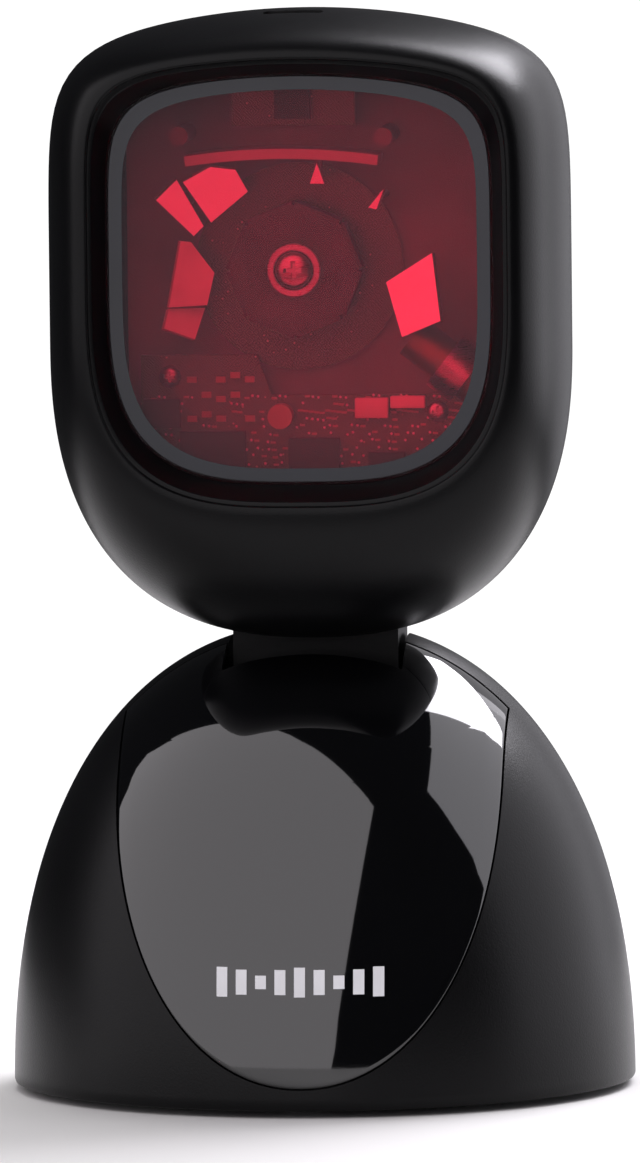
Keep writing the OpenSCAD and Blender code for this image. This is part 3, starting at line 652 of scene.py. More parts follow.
def settle(piece: Thing) -> Thing:
    """Applies every modifier of a piece to its mesh."""
    seen = piece.evaluated_get(bpy.context.evaluated_depsgraph_get())
    mesh = bpy.data.meshes.new_from_object(seen)
    piece.modifiers.clear()
    old, piece.data = piece.data, mesh
    bpy.data.meshes.remove(old)
    return piece


def drop(*pieces: Thing) -> None:
    """Removes helper objects."""
    for piece in pieces:
        bpy.data.objects.remove(piece)


def combine(piece: Thing, *tools: Thing, how: str = "DIFFERENCE") -> Thing:
    """Runs exact booleans with helper objects, which are then removed.

    Args:
        piece: The piece that changes.
        tools: The helper objects, used one after the other.
        how: DIFFERENCE, UNION or INTERSECT.

    Returns:
        The piece.
    """
    for tool in tools:
        step = piece.modifiers.new("cut", "BOOLEAN")
        step.operation = how
        step.solver = "EXACT"
        step.object = tool
        settle(piece)
        drop(tool)
    return piece


def merge(name: str, *parts: Thing) -> Thing:
    """Joins several helper objects into one piece.

    Args:
        name: Name of the piece.
        parts: The objects to join, which are removed.

    Returns:
        The piece.
    """
    work = bmesh.new()
    for part in parts:
        work.from_mesh(part.data)
    mesh = bpy.data.meshes.new(name)
    work.to_mesh(mesh)
    work.free()
    drop(*parts)
    return show(name, mesh)


def turned(piece: Thing, matrix: Matrix) -> Thing:
    """Moves a piece's mesh by a matrix in metres."""
    piece.data.transform(matrix)
    return piece


# ---- Repeated parts ----


class Repeater:
    """Geometry Nodes groups that repeat one part on points, round a ring or along a row."""

    def __init__(self, shop: Workshop) -> None:
        """Builds the three groups.

        Args:
            shop: Gives the materials.
        """
        self.shop = shop
        self.on_points = self.group("copies_on_points", {"Turn": Socket.VECTOR})
        ring_inputs = {"Count": Socket.INT, "Radius": Socket.FLOAT, "Phase": Socket.FLOAT}
        self.round_ring = self.group("copies_round_ring", ring_inputs)
        self.along_row = self.group("copies_along_row", {"Count": Socket.INT, "Step": Socket.VECTOR})
        self.wire_points()
        self.wire_ring()
        self.wire_row()

    def group(self, name: str, inputs: dict[str, Socket]) -> Tree:
        """Starts a group with the inputs that all of them have.

        Args:
            name: The group's name.
            inputs: Further inputs by name.

        Returns:
            The group's tree.
        """
        tree = bpy.data.node_groups.new(name, "GeometryNodeTree")
        face = tree.interface
        face.new_socket("Geometry", in_out="INPUT", socket_type="NodeSocketGeometry")
        face.new_socket("Part", in_out="INPUT", socket_type=Socket.OBJECT.value)
        face.new_socket("Finish", in_out="INPUT", socket_type=Socket.MATERIAL.value)
        for label, kind in inputs.items():
            face.new_socket(label, in_out="INPUT", socket_type=kind.value)
        face.new_socket("Geometry", in_out="OUTPUT", socket_type="NodeSocketGeometry")
        tree.nodes.new("NodeGroupInput").name = "in"
        return tree

    def close(self, tree: Tree, points: Wire, turn: Wire | None) -> None:
        """Puts the part on points, makes it real and gives it its material.

        Args:
            tree: The group.
            points: The points that carry copies.
            turn: Rotation of each copy.
        """
        given = tree.nodes["in"].outputs
        part = add_node(tree, "GeometryNodeObjectInfo", {
            "Object": given["Part"],
        }, transform_space="ORIGINAL")
        copies = add_node(tree, "GeometryNodeInstanceOnPoints", {
            "Points": points,
            "Instance": part.outputs["Geometry"],
        })
        if turn is not None:
            feed(tree, copies, {"Rotation": turn})
        real = add_node(tree, "GeometryNodeRealizeInstances", {"Geometry": copies.outputs["Instances"]})
        paint = add_node(tree, "GeometryNodeSetMaterial", {
            "Geometry": real.outputs["Geometry"],
            "Material": given["Finish"],
        })
        out = tree.nodes.new("NodeGroupOutput")
        feed(tree, out, {"Geometry": paint.outputs["Geometry"]})

    def wire_points(self) -> None:
        """Copies on the corners of the carrier, all turned the same way."""
        given = self.on_points.nodes["in"].outputs
        points = add_node(self.on_points, "GeometryNodeMeshToPoints", {"Mesh": given["Geometry"]})
        self.close(self.on_points, points.outputs["Points"], given["Turn"])

    def wire_ring(self) -> None:
        """Copies evenly round Z, each turned with its place."""
        tree = self.round_ring
        given = tree.nodes["in"].outputs
        line = add_node(tree, "GeometryNodeMeshLine", {"Count": given["Count"], "Offset": (0, 0, 0)})
        index = add_node(tree, "GeometryNodeInputIndex").outputs["Index"]
        share = math_node(tree, "DIVIDE", index, given["Count"])
        angle = math_node(tree, "MULTIPLY_ADD", share, 2 * math.pi, given["Phase"])
        place = add_node(tree, "ShaderNodeCombineXYZ")
        for axis, wave in (("X", "COSINE"), ("Y", "SINE")):
            offset = math_node(tree, "MULTIPLY", math_node(tree, wave, angle), given["Radius"])
            feed(tree, place, {axis: offset})
        move = add_node(tree, "GeometryNodeSetPosition", {
            "Geometry": line.outputs["Mesh"],
            "Position": place.outputs["Vector"],
        })
        turn = add_node(tree, "ShaderNodeCombineXYZ", {"Z": angle})
        self.close(tree, move.outputs["Geometry"], turn.outputs["Vector"])

    def wire_row(self) -> None:
        """Copies along a straight row from the origin."""
        tree = self.along_row
        given = tree.nodes["in"].outputs
        line = add_node(tree, "GeometryNodeMeshLine", {"Count": given["Count"], "Offset": given["Step"]})
        self.close(tree, line.outputs["Mesh"], None)

    def run(
        self,
        tree: Tree,
        name: str,
        part: Thing,
        slot: str,
        points: Sequence[Sequence[float]] = ((0, 0, 0),),
        **inputs: object,
    ) -> Thing:
        """Makes a plain mesh of all the copies.

        Args:
            tree: One of the three groups.
            name: Name of the piece.
            part: The part to copy, which is removed.
            slot: Material slot of the copies.
            points: Places of the copies in millimetres, for the group that takes them.
            inputs: Values of the group's named inputs.

        Returns:
            The piece.
        """
        piece = new_piece(name, points, [])
        step = piece.modifiers.new("copies", "NODES")
        step.node_group = tree
        values = {"Part": part, "Finish": self.shop.materials[slot], **inputs}
        for item in tree.interface.items_tree:
            if item.in_out == "INPUT" and item.name in values:
                step[item.identifier] = values[item.name]
        settle(piece)
        drop(part)
        return smooth(piece)


def cross_screw(name: str, head_r: float, head_h: float, r: float, length: float) -> Thing:
    """Pan head screw with a cross recess, its seat at the origin and its head towards +Z.

    Args:
        name: Name of the helper object.
        head_r: Radius of the head in millimetres.
        head_h: Height of the head.
        r: Radius of the thread.
        length: Length under the head.

    Returns:
        The screw.
    """
    profile = [(0.02, -length), (r * 0.7, -length), (r * 0.98, -length + 0.5)]
    turns = max(3, int(length / 0.6))
    for i in range(turns):
        low = -length + 0.6 + i * (length - 0.8) / turns
        profile += [(r * 0.86, low), (r * 0.99, low + 0.25)]
    profile += [(r * 0.9, -0.02), (head_r * 0.97, 0), (head_r, head_h * 0.15)]
    for i in range(1, 9):
        t = i / 8 * math.pi / 2
        profile.append((head_r * (0.25 + 0.75 * math.cos(t)), head_h * (0.35 + 0.65 * math.sin(t))))
    profile.append((0.02, head_h))
    screw = lathe(name, profile, 40)
    deep, wide, arm = head_h * 0.4, head_r * 0.13, head_r * 0.55
    for x, y in ((wide, arm), (arm, wide)):
        corners = [(-x, -y), (x, -y), (x, y), (-x, y)]
        ring = [[(u * k, v * k, z) for u, v in corners] for k, z in ((0.75, deep), (1.08, head_h + 0.3))]
        combine(screw, skin("recess", ring))
    return screw


# ---- Outlines ----


@dataclass(frozen=True)
class Outline:
    """Front outline of the head: a tall arch over a fuller lower half."""

    half: float
    side: float
    rise: float
    arch: float
    upper: float
    drop: float
    lower: float

    def inset(self, d: float) -> "Outline":
        """The outline shrunk all round by d."""
        return replace(self, half=self.half - d, rise=self.rise - d, drop=self.drop - d)

    def points(self, count: int) -> list[tuple[float, float]]:
        """Points of the outline.

        Args:
            count: How many, at even angles from +X.

        Returns:
            X and Z of each point in millimetres.
        """
        result = []
        for i in range(count):
            t = 2 * math.pi * i / count
            c, s = math.cos(t), math.sin(t)
            n, b = (self.upper, self.rise) if s >= 0 else (self.lower, self.drop)
            r = 1 / (abs(c) ** n + abs(s) ** n) ** (1 / n)
            x = self.half * r * c
            arch = self.arch * (1 - (x / self.half) ** 2) if s >= 0 else 0
            result.append((x, self.side + b * r * s + arch))
        return result


def blend_ring(first: Outline, last: Outline, share: float, y: float, count: int) -> Ring:
    """Ring part of the way from one outline to another.

    Args:
        first: Outline at share 0.
        last: Outline at share 1.
        share: How far along.
        y: Depth of the ring in millimetres.
        count: Points of the ring.

    Returns:
        The ring.
    """
    pairs = zip(first.points(count), last.points(count))
    return [(p[0] + (q[0] - p[0]) * share, y, p[1] + (q[1] - p[1]) * share) for p, q in pairs]


# ---- Sub-assemblies ----


@dataclass
class Assembly:
    """What each sub-assembly has in common."""

    shop: Workshop
    repeat: Repeater
    made: list[Thing] = field(default_factory=list)

    def keep(self, piece: Thing, slot: str, body: Body, *nodes: str, finish: str = "") -> None:
        """Dresses a piece and ties it to its body.

        Args:
            piece: The finished piece.
            slot: Its material slot in the record.
            body: The body it rides on.
            nodes: CAD nodes that it stands for.
            finish: Finish it wears, if not the slot's own.
        """
        self.shop.dress(piece, finish or slot)
        if nodes:
            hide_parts(*nodes)
        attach(piece, body.value)
        self.made.append(piece)

    def place(self, name: str, part: Thing, places: Sequence[Sequence[float]], turn: float = 0.0) -> Thing:
        """Copies a steel part onto places.

        Args:
            name: Name of the piece.
            part: The part, which is removed.
            places: Places in millimetres.
            turn: Turn of each copy about X, in radians.

        Returns:
            The piece.
        """
        return self.repeat.run(self.repeat.on_points, name, part, "steel", places, Turn=(turn, 0, 0))

    def report(self) -> None:
        """Logs each piece with its size."""
        for piece in self.made:
            log.info("%s: %d faces", piece.name, len(piece.data.polygons))


@dataclass
class DomeBase(Assembly):
    """Weighted dome with its glossy panel, plate, feet and cable socket."""

    radius: float = 43.0
    height: float = 64.2
    round_power: float = 2.25
    wall: float = 3.2
    low: float = 1.0
    panel_half: float = 26.4
    panel_thick: float = 1.6
    panel_mid: float = 45.0
    panel_low: float = 4.0
    panel_power: float = 2.1
    panel_back: float = 6.5
    slot_half: float = 12.2
    hinge: float = 48.0
    pocket: float = 13.2
    mouth: tuple[tuple[float, float, float], tuple[float, float, float]] = ((-6.5, 30, 9.4), (6.5, 50, 19.0))
    feet_ring: float = 29.0
    screw_ring: float = 33.5
    screw_seat: float = 1.2
    contact_pitch: float = 1.02
    yoke_screw: tuple[float, float] = (9.0, 13.8)

    def at(self, inset: float, t: float) -> tuple[float, float]:
        """Radius and height of the dome.

        Args:
            inset: Distance inside the outer surface.
            t: Angle from the foot, in radians.

        Returns:
            Radius and height in millimetres.
        """
        n = 2 / self.round_power
        across, up = power(math.cos(t), n), power(math.sin(t), n)
        return (self.radius - inset) * across, (self.height - inset) * up

    def solid(self, inset: float, low: float, steps: int, count: int) -> Thing:
        """Solid dome a distance inside the outer surface.

        Args:
            inset: The distance in millimetres.
            low: Height of its flat underside.
            steps: Rings from foot to crown.
            count: Points round each ring.

        Returns:
            The helper object.
        """
        curve = [self.at(inset, i / steps * QUARTER) for i in range(1, steps)]
        profile = [(self.radius - inset, low)] + [p for p in curve if p[1] > low]
        profile.append((0.05, self.height - inset))
        return lathe("dome", profile, count)

    def pocket_outline(self, grow: float) -> list[tuple[float, float]]:
        """Side outline of the space for the neck.

        Args:
            grow: Distance by which it is grown.

        Returns:
            Y and Z of its corners.
        """
        r, g = self.pocket + grow, grow
        round_part = [(r * math.cos(t), self.hinge + r * math.sin(t))
                      for t in (math.pi + i * math.pi / 32 for i in range(33))]
        return round_part + [(18.5 + g, self.hinge + 10), (18.5 + g, self.height + 5),
                             (-15.7 - g, self.height + 5), (-15.7 - g, self.hinge + 13)]

    def pocket_tool(self, grow: float, half: float) -> Thing:
        """Solid of the space for the neck."""
        return prism("pocket", self.pocket_outline(grow), -half, half, "X")

    def panel_edge(self, grow: float, count: int) -> list[tuple[float, float]]:
        """Front outline of the glossy panel, in X and dome angle.

        Args:
            grow: Distance by which it is grown.
            count: Points of its rounded lower end and of its top.

        Returns:
            X in millimetres and angle in radians.
        """
        half, drop_z = self.panel_half + grow, self.panel_mid - self.panel_low + grow
        back = self.panel_back - grow
        points: list[tuple[float, float]] = []
        for i in range(count + 1):
            t = -math.pi + math.pi * i / count
            z = self.panel_mid - drop_z * abs(math.sin(t)) ** (2 / self.panel_power)
            points.append((half * power(math.cos(t), 2 / self.panel_power), self.angle_at(z)))
        reach = math.hypot(half, back)
        top = math.acos(min(1.0, (reach / self.radius) ** (self.round_power / 2)))
        low = points[-1][1]
        points += [(half, low + (top - low) * i / 12) for i in range(1, 12)]
        for i in range(count + 1):
            x = half * math.cos(math.pi * i / count)
            r = math.hypot(x, back)
            points.append((x, math.acos((r / self.radius) ** (self.round_power / 2))))
        points += [(-half, top + (low - top) * i / 12) for i in range(1, 12)]
        return points

    def angle_at(self, z: float) -> float:
        """Dome angle at a height."""
        return math.asin((z / self.height) ** (self.round_power / 2))

    def panel_ring(self, edge: Sequence[tuple[float, float]], share: float, inset: float) -> Ring:
        """Ring of the panel, shrunk towards its middle.

        Args:
            edge: Outline in X and dome angle.
            share: Size of the ring against the outline.
            inset: Distance inside the dome's surface.

        Returns:
            The ring.
        """
        mid = math.radians(38)
        ring: Ring = []
        for x, t in edge:
            r, z = self.at(inset, mid + (t - mid) * share)
            x = max(-r, min(r, x * share * (self.radius - inset) / self.radius))
            ring.append((x, -math.sqrt(max(0.0, r * r - x * x)), z))
        return ring

    def panel_tool(self) -> Thing:
        """Solid that sinks the panel's recess into the dome."""
        edge = self.panel_edge(0.16, 48)
        outer = [self.panel_ring(edge, s, -1.0) for s in (0.04, 0.25, 0.5, 0.75, 1.0)]
        inner = [self.panel_ring(edge, s, self.panel_thick + 0.15) for s in (1.0, 0.75, 0.5, 0.25, 0.04)]
        return skin("panel_tool", outer + inner)

    def build_shell(self) -> None:
        """Dome shell with the neck's slot, the panel's recess and the socket opening."""
        rim = [(self.radius - d, self.low + z) for d, z in ((0.5, 0), (0.15, 0.12), (0, 0.5))]
        outer = rim + [self.at(0, i / 110 * QUARTER) for i in range(2, 110)] + [(0.05, self.height)]
        inner = [(0.05, self.height - self.wall)]
        inner += [self.at(self.wall, (1 - i / 40) * QUARTER) for i in range(1, 40)]
        inner.append((self.radius - self.wall, self.low))
        shell = lathe("dome_shell", outer + inner, 256, closed=True)
        tray = self.pocket_tool(1.5, self.slot_half + 1.5)
        combine(tray, self.solid(self.wall * 0.7, self.low, 24, 96), how="INTERSECT")
        combine(shell, tray, how="UNION")
        combine(shell, self.pocket_tool(0, self.slot_half), self.panel_tool())
        combine(shell, block("mouth", *self.mouth, 0.6))
        self.keep(smooth(shell), "shell_plastic", Body.BASE, "base_shell")

    def build_panel(self) -> None:
        """Glossy front panel with a fine rounded edge."""
        edge = self.panel_edge(0, 96)
        shares = [0.02, 0.06, 0.12, *(0.2 + 0.1 * i for i in range(8)), 0.94, 0.97, 0.985]
        outer = [self.panel_ring(edge, s, 0) for s in shares]
        rim = [self.panel_ring(edge, 0.9925 + 0.0075 * math.sin(t), 0.28 * (1 - math.cos(t)))
               for t in (i * math.pi / 12 for i in range(7))]
        inner = [self.panel_ring(edge, s, self.panel_thick) for s in (1.0, 0.8, 0.5, 0.2, 0.02)]
        panel = skin("gloss_panel", outer + rim + inner)
        combine(panel, self.pocket_tool(0.2, self.slot_half + 0.2))
        self.keep(smooth(panel, 40), "panel_gloss", Body.BASE, "front_panel")

    def build_small_parts(self) -> None:
        """Feet, screws and socket contacts."""
        repeat = self.repeat
        rim = [(0.05, 0.35), (3.4, 0.35), (3.7, 0), (5.1, 0), (5.5, 0.4), (5.5, 2), (0.05, 2)]
        feet = repeat.run(repeat.round_ring, "feet", lathe("foot", rim, 48), "foot_rubber",
                          Count=4, Radius=self.feet_ring * MM, Phase=math.pi / 4)
        self.keep(feet, "foot_rubber", Body.BASE, "rubber_feet")
        screw = turned(cross_screw("screw", 2.6, 0.9, 1.0, 8.1), Matrix.Rotation(math.pi, 4, "X"))
        screws = repeat.run(repeat.round_ring, "plate_screws", screw, "steel",
                            Count=3, Radius=self.screw_ring * MM, Phase=-QUARTER)
        turned(screws, Matrix.Translation((0, 0, self.screw_seat * MM)))
        self.keep(screws, "steel", Body.BASE, "base_screws")
        contact = merge("contact", block("contact", (-4.79, 23.4, 10.03), (-4.39, 33, 10.3), 0.08),
                        block("heel", (-4.79, 23.3, 10.03), (-4.39, 24.2, 10.7), 0.08))
        contacts = repeat.run(repeat.along_row, "contacts", contact, "contact_gold",
                              Count=10, Step=(self.contact_pitch * MM, 0, 0))
        self.keep(contacts, "contact_gold", Body.BASE, "socket_contacts")
        x, z = self.yoke_screw
        screw = cross_screw("screw", 2.4, 1.6, 1.05, 8)
        yoke = self.place("yoke_screws_fine", screw, [(-x, 0, z), (x, 0, z)])
        self.keep(yoke, "steel", Body.BASE, "yoke_screws")

    def build(self) -> None:
        """Builds the whole base."""
        self.build_shell()
        self.build_panel()
        self.build_small_parts()
        self.report()


@dataclass
class ScanHead(Assembly):
    """Head covers, scan window and the small parts in their outside."""

    head: Outline = Outline(35.7, 103.6, 39.4, 6.5, 8, 40.6, 2.45)
    lip: Outline = Outline(28.75, 112.6, 27.6, 3.3, 7.5, 30.2, 3.1)
    opening: Outline = Outline(26.4, 112.6, 25.4, 3.3, 7, 27.3, 3.2)
    front: float = -34.0
    seam: float = -10.0
    depth: float = 32.0
    wall: float = 2.2
    glass: float = -28.3
    glass_thick: float = 2.0
    rear_mid: float = 108.0
    rear_power: float = 2.6
    count: int = 224
    cover_screws: tuple[tuple[float, float], ...] = ((16, 143.4), (18, 73.6), (-16, 143.4), (-18, 73.6))
    boss: float = 2.9
    bore: float = 2.3
    slot_pitch: float = 2.6
    first_slot: float = 87.8
    glass_face: float = 4.8
    glass_gap: float = 0.25
    glass_lap: float = 1.6
    neck_screw: tuple[float, float, float] = (6.4, 6.7, 70.0)

    def rear_ring(self, line: Outline, depth: float, share: float) -> Ring:
        """Ring of the rear of the head.

        Args:
            line: Outline at the seam.
            depth: Depth of the whole rear form.
            share: How far back the ring is, from 0 to 1.

        Returns:
            The ring.
        """
        s = (1 - share**self.rear_power) ** (1 / self.rear_power)
        mid = self.rear_mid
        return [(x * s, self.seam + depth * share, mid + (z - mid) * s) for x, z in line.points(self.count)]

    def neck_tool(self) -> Thing:
        """Opening for the neck in both covers."""
        return block("neck_tool", (-11.7, -8.8, 48), (11.7, 8.8, 76.5), 0.3)

    def status_tool(self) -> Thing:
        """Opening for the status light in the top."""
        return block("status_tool", (-5.6, -18.6, 144.6), (2.6, -15.4, 160), 0.7)

    def build_front(self) -> None:
        """Front cover with its stepped lip round the window."""
        outer = []
        for k in range(26, 0, -1):
            a = k / 26 * QUARTER
            y = self.front + (self.seam - self.front) * (1 - math.cos(a))
            outer.append(blend_ring(self.lip, self.head, math.sin(a), y, self.count))
        # The cover rounds off a little where it meets the rear cover
        for inset, back in ((0.05, 0.18), (0.22, 0.03), (0.3, 0.0)):
            outer.insert(0, blend_ring(self.head.inset(inset), self.lip, 0, self.seam - back, self.count))
        # Each step of the lip: inset from its outline, and depth behind the front
        lip = [(-0.12, 0.02), (0.0, 0.06), (0.1, 0.16), (0.16, 0.3), (0.18, 0.52), (0.24, 0.6), (0.62, 0.63),
               (0.74, 0.68), (0.82, 0.8)]
        steps = [blend_ring(self.lip.inset(d), self.lip, 0, self.front + y, self.count) for d, y in lip]
        ledge = self.lip.inset(0.88)
        # The wall of the recess: share of the way to the window's opening, and depth
        for share, y in ((0, 0.95), (0.94, 4.3), (0.985, 4.44), (1, 4.6), (1, 5.68)):
            steps.append(blend_ring(ledge, self.opening, share, self.front + y, self.count))
        seat = self.opening.inset(-1.8)
        back = self.glass + self.glass_thick + 0.5
        inner = [blend_ring(seat, seat, 0, self.front + 5.7, self.count)]
        for k in range(13):
            a = k / 12 * QUARTER
            y = back + (self.seam - back) * (1 - math.cos(a))
            inner.append(blend_ring(seat, self.head.inset(self.wall), math.sin(a), y, self.count))
        cover = skin("front_cover", outer + steps + inner, looped=True)
        combine(cover, self.neck_tool(), self.status_tool())
        for x, z in self.cover_screws:
            boss = prism("boss", circle(x, z, self.boss, 32), self.seam - 9, self.seam - 0.05, "Y")
            cover = merge("front_cover", cover, boss)
        self.keep(smooth(cover), "shell_plastic", Body.HEAD, "head_front_cover")

    def build_rear(self) -> None:
        """Rear cover with sound slots and counterbored screw holes."""
        shares = [math.sin(k / 30 * QUARTER) for k in range(30)] + [0.9995]
        rings = [self.rear_ring(self.head, self.depth, s) for s in shares if not 0 < s < 0.02]
        rim = [blend_ring(self.head.inset(d), self.head, 0, self.seam + y, self.count)
               for d, y in ((0.3, 0.02), (0.22, 0.06), (0.05, 0.2))]
        rings[0] = blend_ring(self.head, self.head, 0, self.seam + 0.4, self.count)
        form = skin("rear_cover", rim + rings)
        hollow_line = self.head.inset(self.wall)
        hollow = [blend_ring(hollow_line, hollow_line, 0, self.seam - 1, self.count)]
        for k in range(14):
            hollow.append(self.rear_ring(hollow_line, self.depth - self.wall, math.sin(k / 14 * QUARTER)))
        combine(form, skin("hollow", hollow))
        slot = block("slot", (-9, 12, self.first_slot - 0.55), (9, 23, self.first_slot + 0.55), 0.3)
        slots = self.repeat.run(self.repeat.along_row, "slots", slot, "shell_plastic",
                                Count=7, Step=(0, 0, self.slot_pitch * MM))
        combine(form, slots, self.neck_tool())
        inside, deep = self.head.inset(self.wall / 2), self.depth - self.wall / 2
        limit = [self.rear_ring(inside, deep, share) for share in (0, 0.3, 0.55, 0.75, 0.9, 0.98)]
        for x, z in self.cover_screws:
            # A boss that ends inside the wall, then its bore
            boss = prism("boss", circle(x, z, self.boss, 48), self.seam + 0.05, 18, "Y")
            combine(boss, skin("limit", limit), how="INTERSECT")
            combine(form, boss, how="UNION")
            combine(form, prism("bore", circle(x, z, self.bore, 48), 0, 30, "Y"))
        self.keep(smooth(form), "shell_plastic", Body.HEAD, "head_rear_cover")

    def build_window(self) -> None:
        """Red window with a chamfered step that fills its opening, and its printed border."""
        seat, step = self.opening.inset(-self.glass_lap), self.opening.inset(self.glass_gap)
        face = self.front + self.glass_face
        plan = [(seat, self.glass + self.glass_thick), (seat, self.glass), (step, self.glass),
                (step, face + 0.15), (self.opening.inset(0.4), face)]
        rings = [blend_ring(line, line, 0, y, self.count) for line, y in plan]
        self.keep(smooth(skin("window_glass", rings)), "window_red", Body.HEAD, "scan_window")
        band = [(0.42, 0.0), (2.2, 0.0), (2.2, 0.02), (0.42, 0.02)]
        rings = [blend_ring(self.opening.inset(d), self.lip, 0, face - 0.03 + y, self.count) for d, y in band]
        print_band = skin("window_print", rings, looped=True)
        self.keep(print_band, "seal_rubber", Body.HEAD, finish="window_print")

    def build_status(self) -> None:
        """Light pipe in the top edge."""
        top = self.head.side + self.head.rise + self.head.arch - 1.6
        bar = block("light_bar", (-5.4, -18.4, top - 3), (2.4, -15.6, top), 0.5)
        self.keep(smooth(bar), "lens_clear", Body.HEAD, "light_pipe")

    def build_screws(self) -> None:
        """Screws of the covers and of the neck, put in from the rear."""
        screw = cross_screw("screw", 2.1, 1.4, 1.05, 16)
        screws = self.place("cover_screws", screw, [(x, 0, z) for x, z in self.cover_screws], -QUARTER)
        self.keep(screws, "steel", Body.HEAD, "head_screws")
        x, y, z = self.neck_screw
        screw = cross_screw("screw", 2.2, 1.4, 1.05, 13)
        neck = self.place("neck_bolts", screw, [(-x, y, z), (x, y, z)], -QUARTER)
        self.keep(neck, "steel", Body.HEAD, "neck_screws")

    def build(self) -> None:
        """Builds the whole head."""
        self.build_front()
        self.build_rear()
        self.build_window()
        self.build_status()
        self.build_screws()
        self.report()


@dataclass
class ScanEngine(Assembly):
    """Fine parts behind the window: board parts, screws and the collar of the wheel's hub."""

    hub: tuple[float, float] = (-2.1, 113.6)
    board_screws: tuple[tuple[float, float], ...] = ((-20, 98.6), (17, 93.6), (-16, 79.6), (14, 79.6))
    rows: int = 18
    columns: int = 58
    pitch: tuple[float, float] = (0.76, 1.02)
    right_end: float = 21.5
    clearance: float = 0.7

    def build_board_parts(self) -> None:
        """Rows of small parts and solder joints on the front of the main board."""
        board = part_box("main_board")
        left, low, y = board[0].x / MM, board[0].z / MM, board[0].y / MM
        spots: dict[str, list[tuple[float, float, float]]] = {"chip": [], "joint": []}
        larger = ("board_chips", "board_passives", "board_plug")
        for row in range(self.rows):
            for i in range(self.columns):
                x = left + 1.4 + i * self.pitch[0] + (row * 0.37) % 0.5
                z = low + 1 + row * self.pitch[1] + (i * 0.31) % 0.4
                pick = (i * 7 + row * 11 + i * row) % 11
                taken = any(self.covers(name, x, z) for name in larger)
                if not taken and pick < 6 and x < self.right_end:
                    spots["chip" if pick < 2 else "joint"].append((x, y, z))
        part = merge("part", block("body", (-0.24, -0.26, -0.15), (0.24, 0, 0.15), 0.04),
                     block("end", (-0.36, -0.23, -0.16), (-0.2, 0, 0.16), 0.03),
                     block("end", (0.2, -0.23, -0.16), (0.36, 0, 0.16), 0.03))
        bead = lathe("bead", [(0.2, 0), (0.17, 0.05), (0.1, 0.12), (0.02, 0.15)], 10)
        for name, shape, finish, turn, kind in (("chip_resistors", part, "passive_ceramic", 0.0, "chip"),
                                                ("solder_joints", bead, "solder_tin", math.pi / 2, "joint")):
            rows = self.repeat.run(self.repeat.on_points, name, shape, finish, spots[kind], Turn=(turn, 0, 0))
            self.keep(rows, "steel", Body.HEAD, finish=finish)
        # Bright ceramic bodies over the two small chips at the right
        for name, x, z, wide, high in (("crystal", 7.9, 94.2, 4.6, 2.8), ("filter", 12.9, 95, 4.8, 1.7)):
            near, far = (x - wide / 2, y - 1.6, z - high / 2), (x + wide / 2, y - 0.05, z + high / 2)
            self.keep(smooth(block(name, near, far, 0.18)), "steel", Body.HEAD, finish="solder_tin")

    def covers(self, node: str, x: float, z: float) -> bool:
        """Whether a CAD node lies over a place on the board.

        Args:
            node: Name of the node.
            x: Place in millimetres.
            z: Place in millimetres.

        Returns:
            True if a corner of the node is nearer than the clearance.
        """
        corners = (vertex.co / MM for vertex in frame["nodes"][node].data.vertices)
        return any(abs(c.x - x) < self.clearance and abs(c.z - z) < self.clearance for c in corners)

    def build_screws(self) -> None:
        """Screws of the main board, and the screw in the wheel's hub."""
        low, high = (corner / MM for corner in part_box("hub_screw"))
        screw = cross_screw("screw", (high.x - low.x) / 2, 1.3, 0.75, 3)
        place = ((low.x + high.x) / 2, low.y + 1.3, (low.z + high.z) / 2)
        self.keep(self.place("hub_bolt", screw, [place], QUARTER), "steel", Body.WHEEL, "hub_screw")
        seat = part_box("main_board")[0].y / MM
        places = [(x, seat, z) for x, z in self.board_screws]
        screws = self.place("board_bolts", cross_screw("screw", 1.5, 0.9, 0.75, 4), places, QUARTER)
        self.keep(screws, "steel", Body.HEAD, "board_screws")

    def build_wheel(self) -> None:
        """Turned collar round the screw in the wheel's hub."""
        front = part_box("polygon_wheel")[0].y / MM
        rim = [(2.7, 0), (2.7, 0.12), (2.82, 0.22), (3.55, 0.22), (3.7, 0.12), (3.7, 0)]
        place = Matrix.Translation((self.hub[0] * MM, front * MM, self.hub[1] * MM))
        collar = lathe("hub_collar", rim, 72, closed=True)
        turned(collar, place @ Matrix.Rotation(QUARTER, 4, "X"))
        self.keep(smooth(collar, 30), "steel", Body.WHEEL)

    def build(self) -> None:
        """Builds what the engine needs beside its CAD nodes."""
        self.build_board_parts()
        self.build_screws()
        self.build_wheel()
        self.report()


# ---- Studio ----


def hang(
    name: str, data: bpy.types.ID, azimuth: float, elevation: float, distance: float,
    aim: Sequence[float], roll: float = 0.0, shift: Sequence[float] = (0, 0),
) -> Thing:
    """Hangs a lamp or a camera so that it looks at a place.

    Args:
        name: Name of the object.
        data: The lamp or camera.
        azimuth: Degrees from the front towards +X.
        elevation: Degrees above the horizon.
        distance: Metres from the place.
        aim: The place, in metres.
        roll: Turn about its own axis, in degrees.
        shift: Sideways and upward shift in its own plane, in metres.

    Returns:
        The object.
    """
    thing = show(name, data)
    a, e = math.radians(azimuth), math.radians(elevation)
    out = Vector((math.sin(a) * math.cos(e), -math.cos(a) * math.cos(e), math.sin(e)))
    facing = out.to_track_quat("Z", "Y").to_matrix().to_4x4()
    thing.location = Vector(aim) + out * distance + facing.to_3x3() @ Vector((*shift, 0))
    thing.rotation_euler = (facing @ Matrix.Rotation(math.radians(roll), 4, "Z")).to_euler()
    return thing


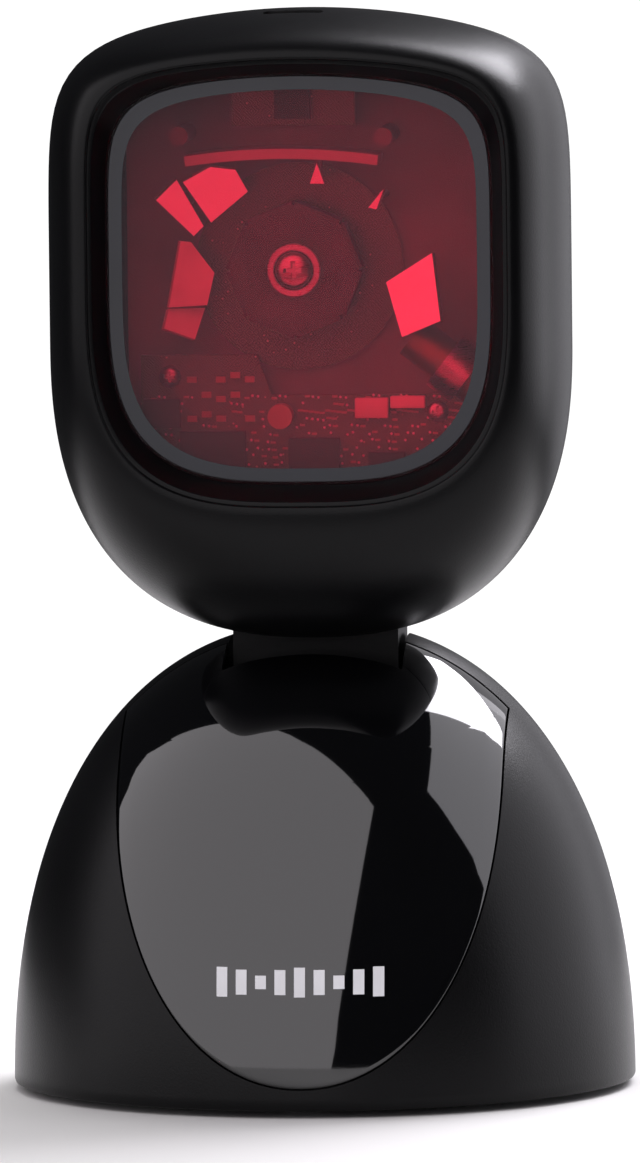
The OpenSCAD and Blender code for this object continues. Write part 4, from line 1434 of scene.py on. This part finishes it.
@dataclass
class Softbox:
    """Area light that points at a place on the scanner."""

    name: str
    azimuth: float
    elevation: float
    distance: float
    width: float
    height: float
    watts: float
    roll: float = 0.0
    shift: tuple[float, float] = (0.0, 0.0)
    mirrored: bool = True
    aim: tuple[float, float, float] = (0.0, 0.0, 0.08)
    colour: tuple[float, float, float] = (1.0, 1.0, 1.0)

    def build(self) -> None:
        """Hangs the light, its azimuth counted from the front towards +X."""
        data = bpy.data.lights.new(self.name, "AREA")
        data.shape = "RECTANGLE"
        data.size, data.size_y = self.width, self.height
        data.energy, data.color = self.watts, self.colour
        lamp = hang(
            self.name, data, self.azimuth, self.elevation, self.distance, self.aim, self.roll, self.shift
        )
        lamp.visible_glossy = self.mirrored


@dataclass
class Studio:
    """Pale floor, soft lights and the camera."""

    shop: Workshop
    azimuth: float = 4.62
    elevation: float = 4.4
    roll: float = 0.62
    floor_radius: float = 300.0
    distance: float = 2.0
    lens: float = 448.0
    target: tuple[float, float, float] = (0.0, 0.0, 0.0698)

    def build_floor(self) -> None:
        """Sheet of pale paper under the scanner."""
        rim, thick = self.floor_radius, 0.02
        floor = lathe("paper", [(0.5, -thick), (rim, -thick), (rim, 0), (0.5, 0)], 96)
        self.shop.dress(floor, "paper_floor")

    def build_world(self) -> None:
        """White beyond the paper for the camera, and a dim room for everything else."""
        world = bpy.data.worlds.new("room")
        bpy.context.scene.world = world
        world.use_nodes = True
        tree = world.node_tree
        room = tree.nodes["Background"]
        feed(tree, room, {"Color": (0.9, 0.92, 1, 1), "Strength": 0.02})
        white = add_node(tree, "ShaderNodeBackground", {"Color": (1, 1, 1, 1), "Strength": 1.1})
        either = add_node(tree, "ShaderNodeMixShader", {
            "Fac": add_node(tree, "ShaderNodeLightPath").outputs["Is Camera Ray"],
            1: room.outputs["Background"],
            2: white.outputs["Background"],
        })
        feed(tree, tree.nodes["World Output"], {"Surface": either.outputs["Shader"]})

    def build_lights(self) -> None:
        """Soft lights above, in front, at the right and behind."""
        warm, cool = (1, 0.96, 1), (0.96, 0.94, 1)
        lights = (
            Softbox("overhead", 175, 70, 1.6, 1.2, 1.0, 20, mirrored=False),
            Softbox("front", -36, 30, 1.5, 4.5, 2.4, 58, roll=-0.6, shift=(-0.56, 0.14), colour=warm),
            Softbox("right", 112, 22, 1.5, 2.1, 1.9, 25, colour=cool),
            Softbox("behind", 160, 14, 1.5, 0.7, 1.3, 2, colour=cool),
            Softbox("rim", 146, 46, 1.5, 0.9, 0.9, 30, colour=cool),
        )
        for light in lights:
            light.build()

    def build_camera(self) -> None:
        """Camera at the angle of the reference view."""
        data = bpy.data.cameras.new("camera")
        data.lens, data.sensor_width, data.sensor_fit = self.lens, 36, "AUTO"
        data.clip_end = 50
        bpy.context.scene.camera = hang(
            "camera", data, self.azimuth, self.elevation, self.distance, self.target, -self.roll
        )

    def build(self) -> None:
        """Sets the whole studio."""
        self.build_floor()
        self.build_world()
        self.build_lights()
        self.build_camera()
        view = bpy.context.scene.view_settings
        view.view_transform, view.look = "Standard", "None"


def main() -> None:
    """Builds the studio and every sub-assembly in order."""
    logging.basicConfig(level=logging.INFO, format="%(name)s: %(message)s")
    shop = Workshop()
    shop.dress_cad()
    repeat = Repeater(shop)
    Studio(shop).build()
    DomeBase(shop, repeat).build()
    ScanHead(shop, repeat).build()
    ScanEngine(shop, repeat).build()


if __name__ == "__main__":
    main()
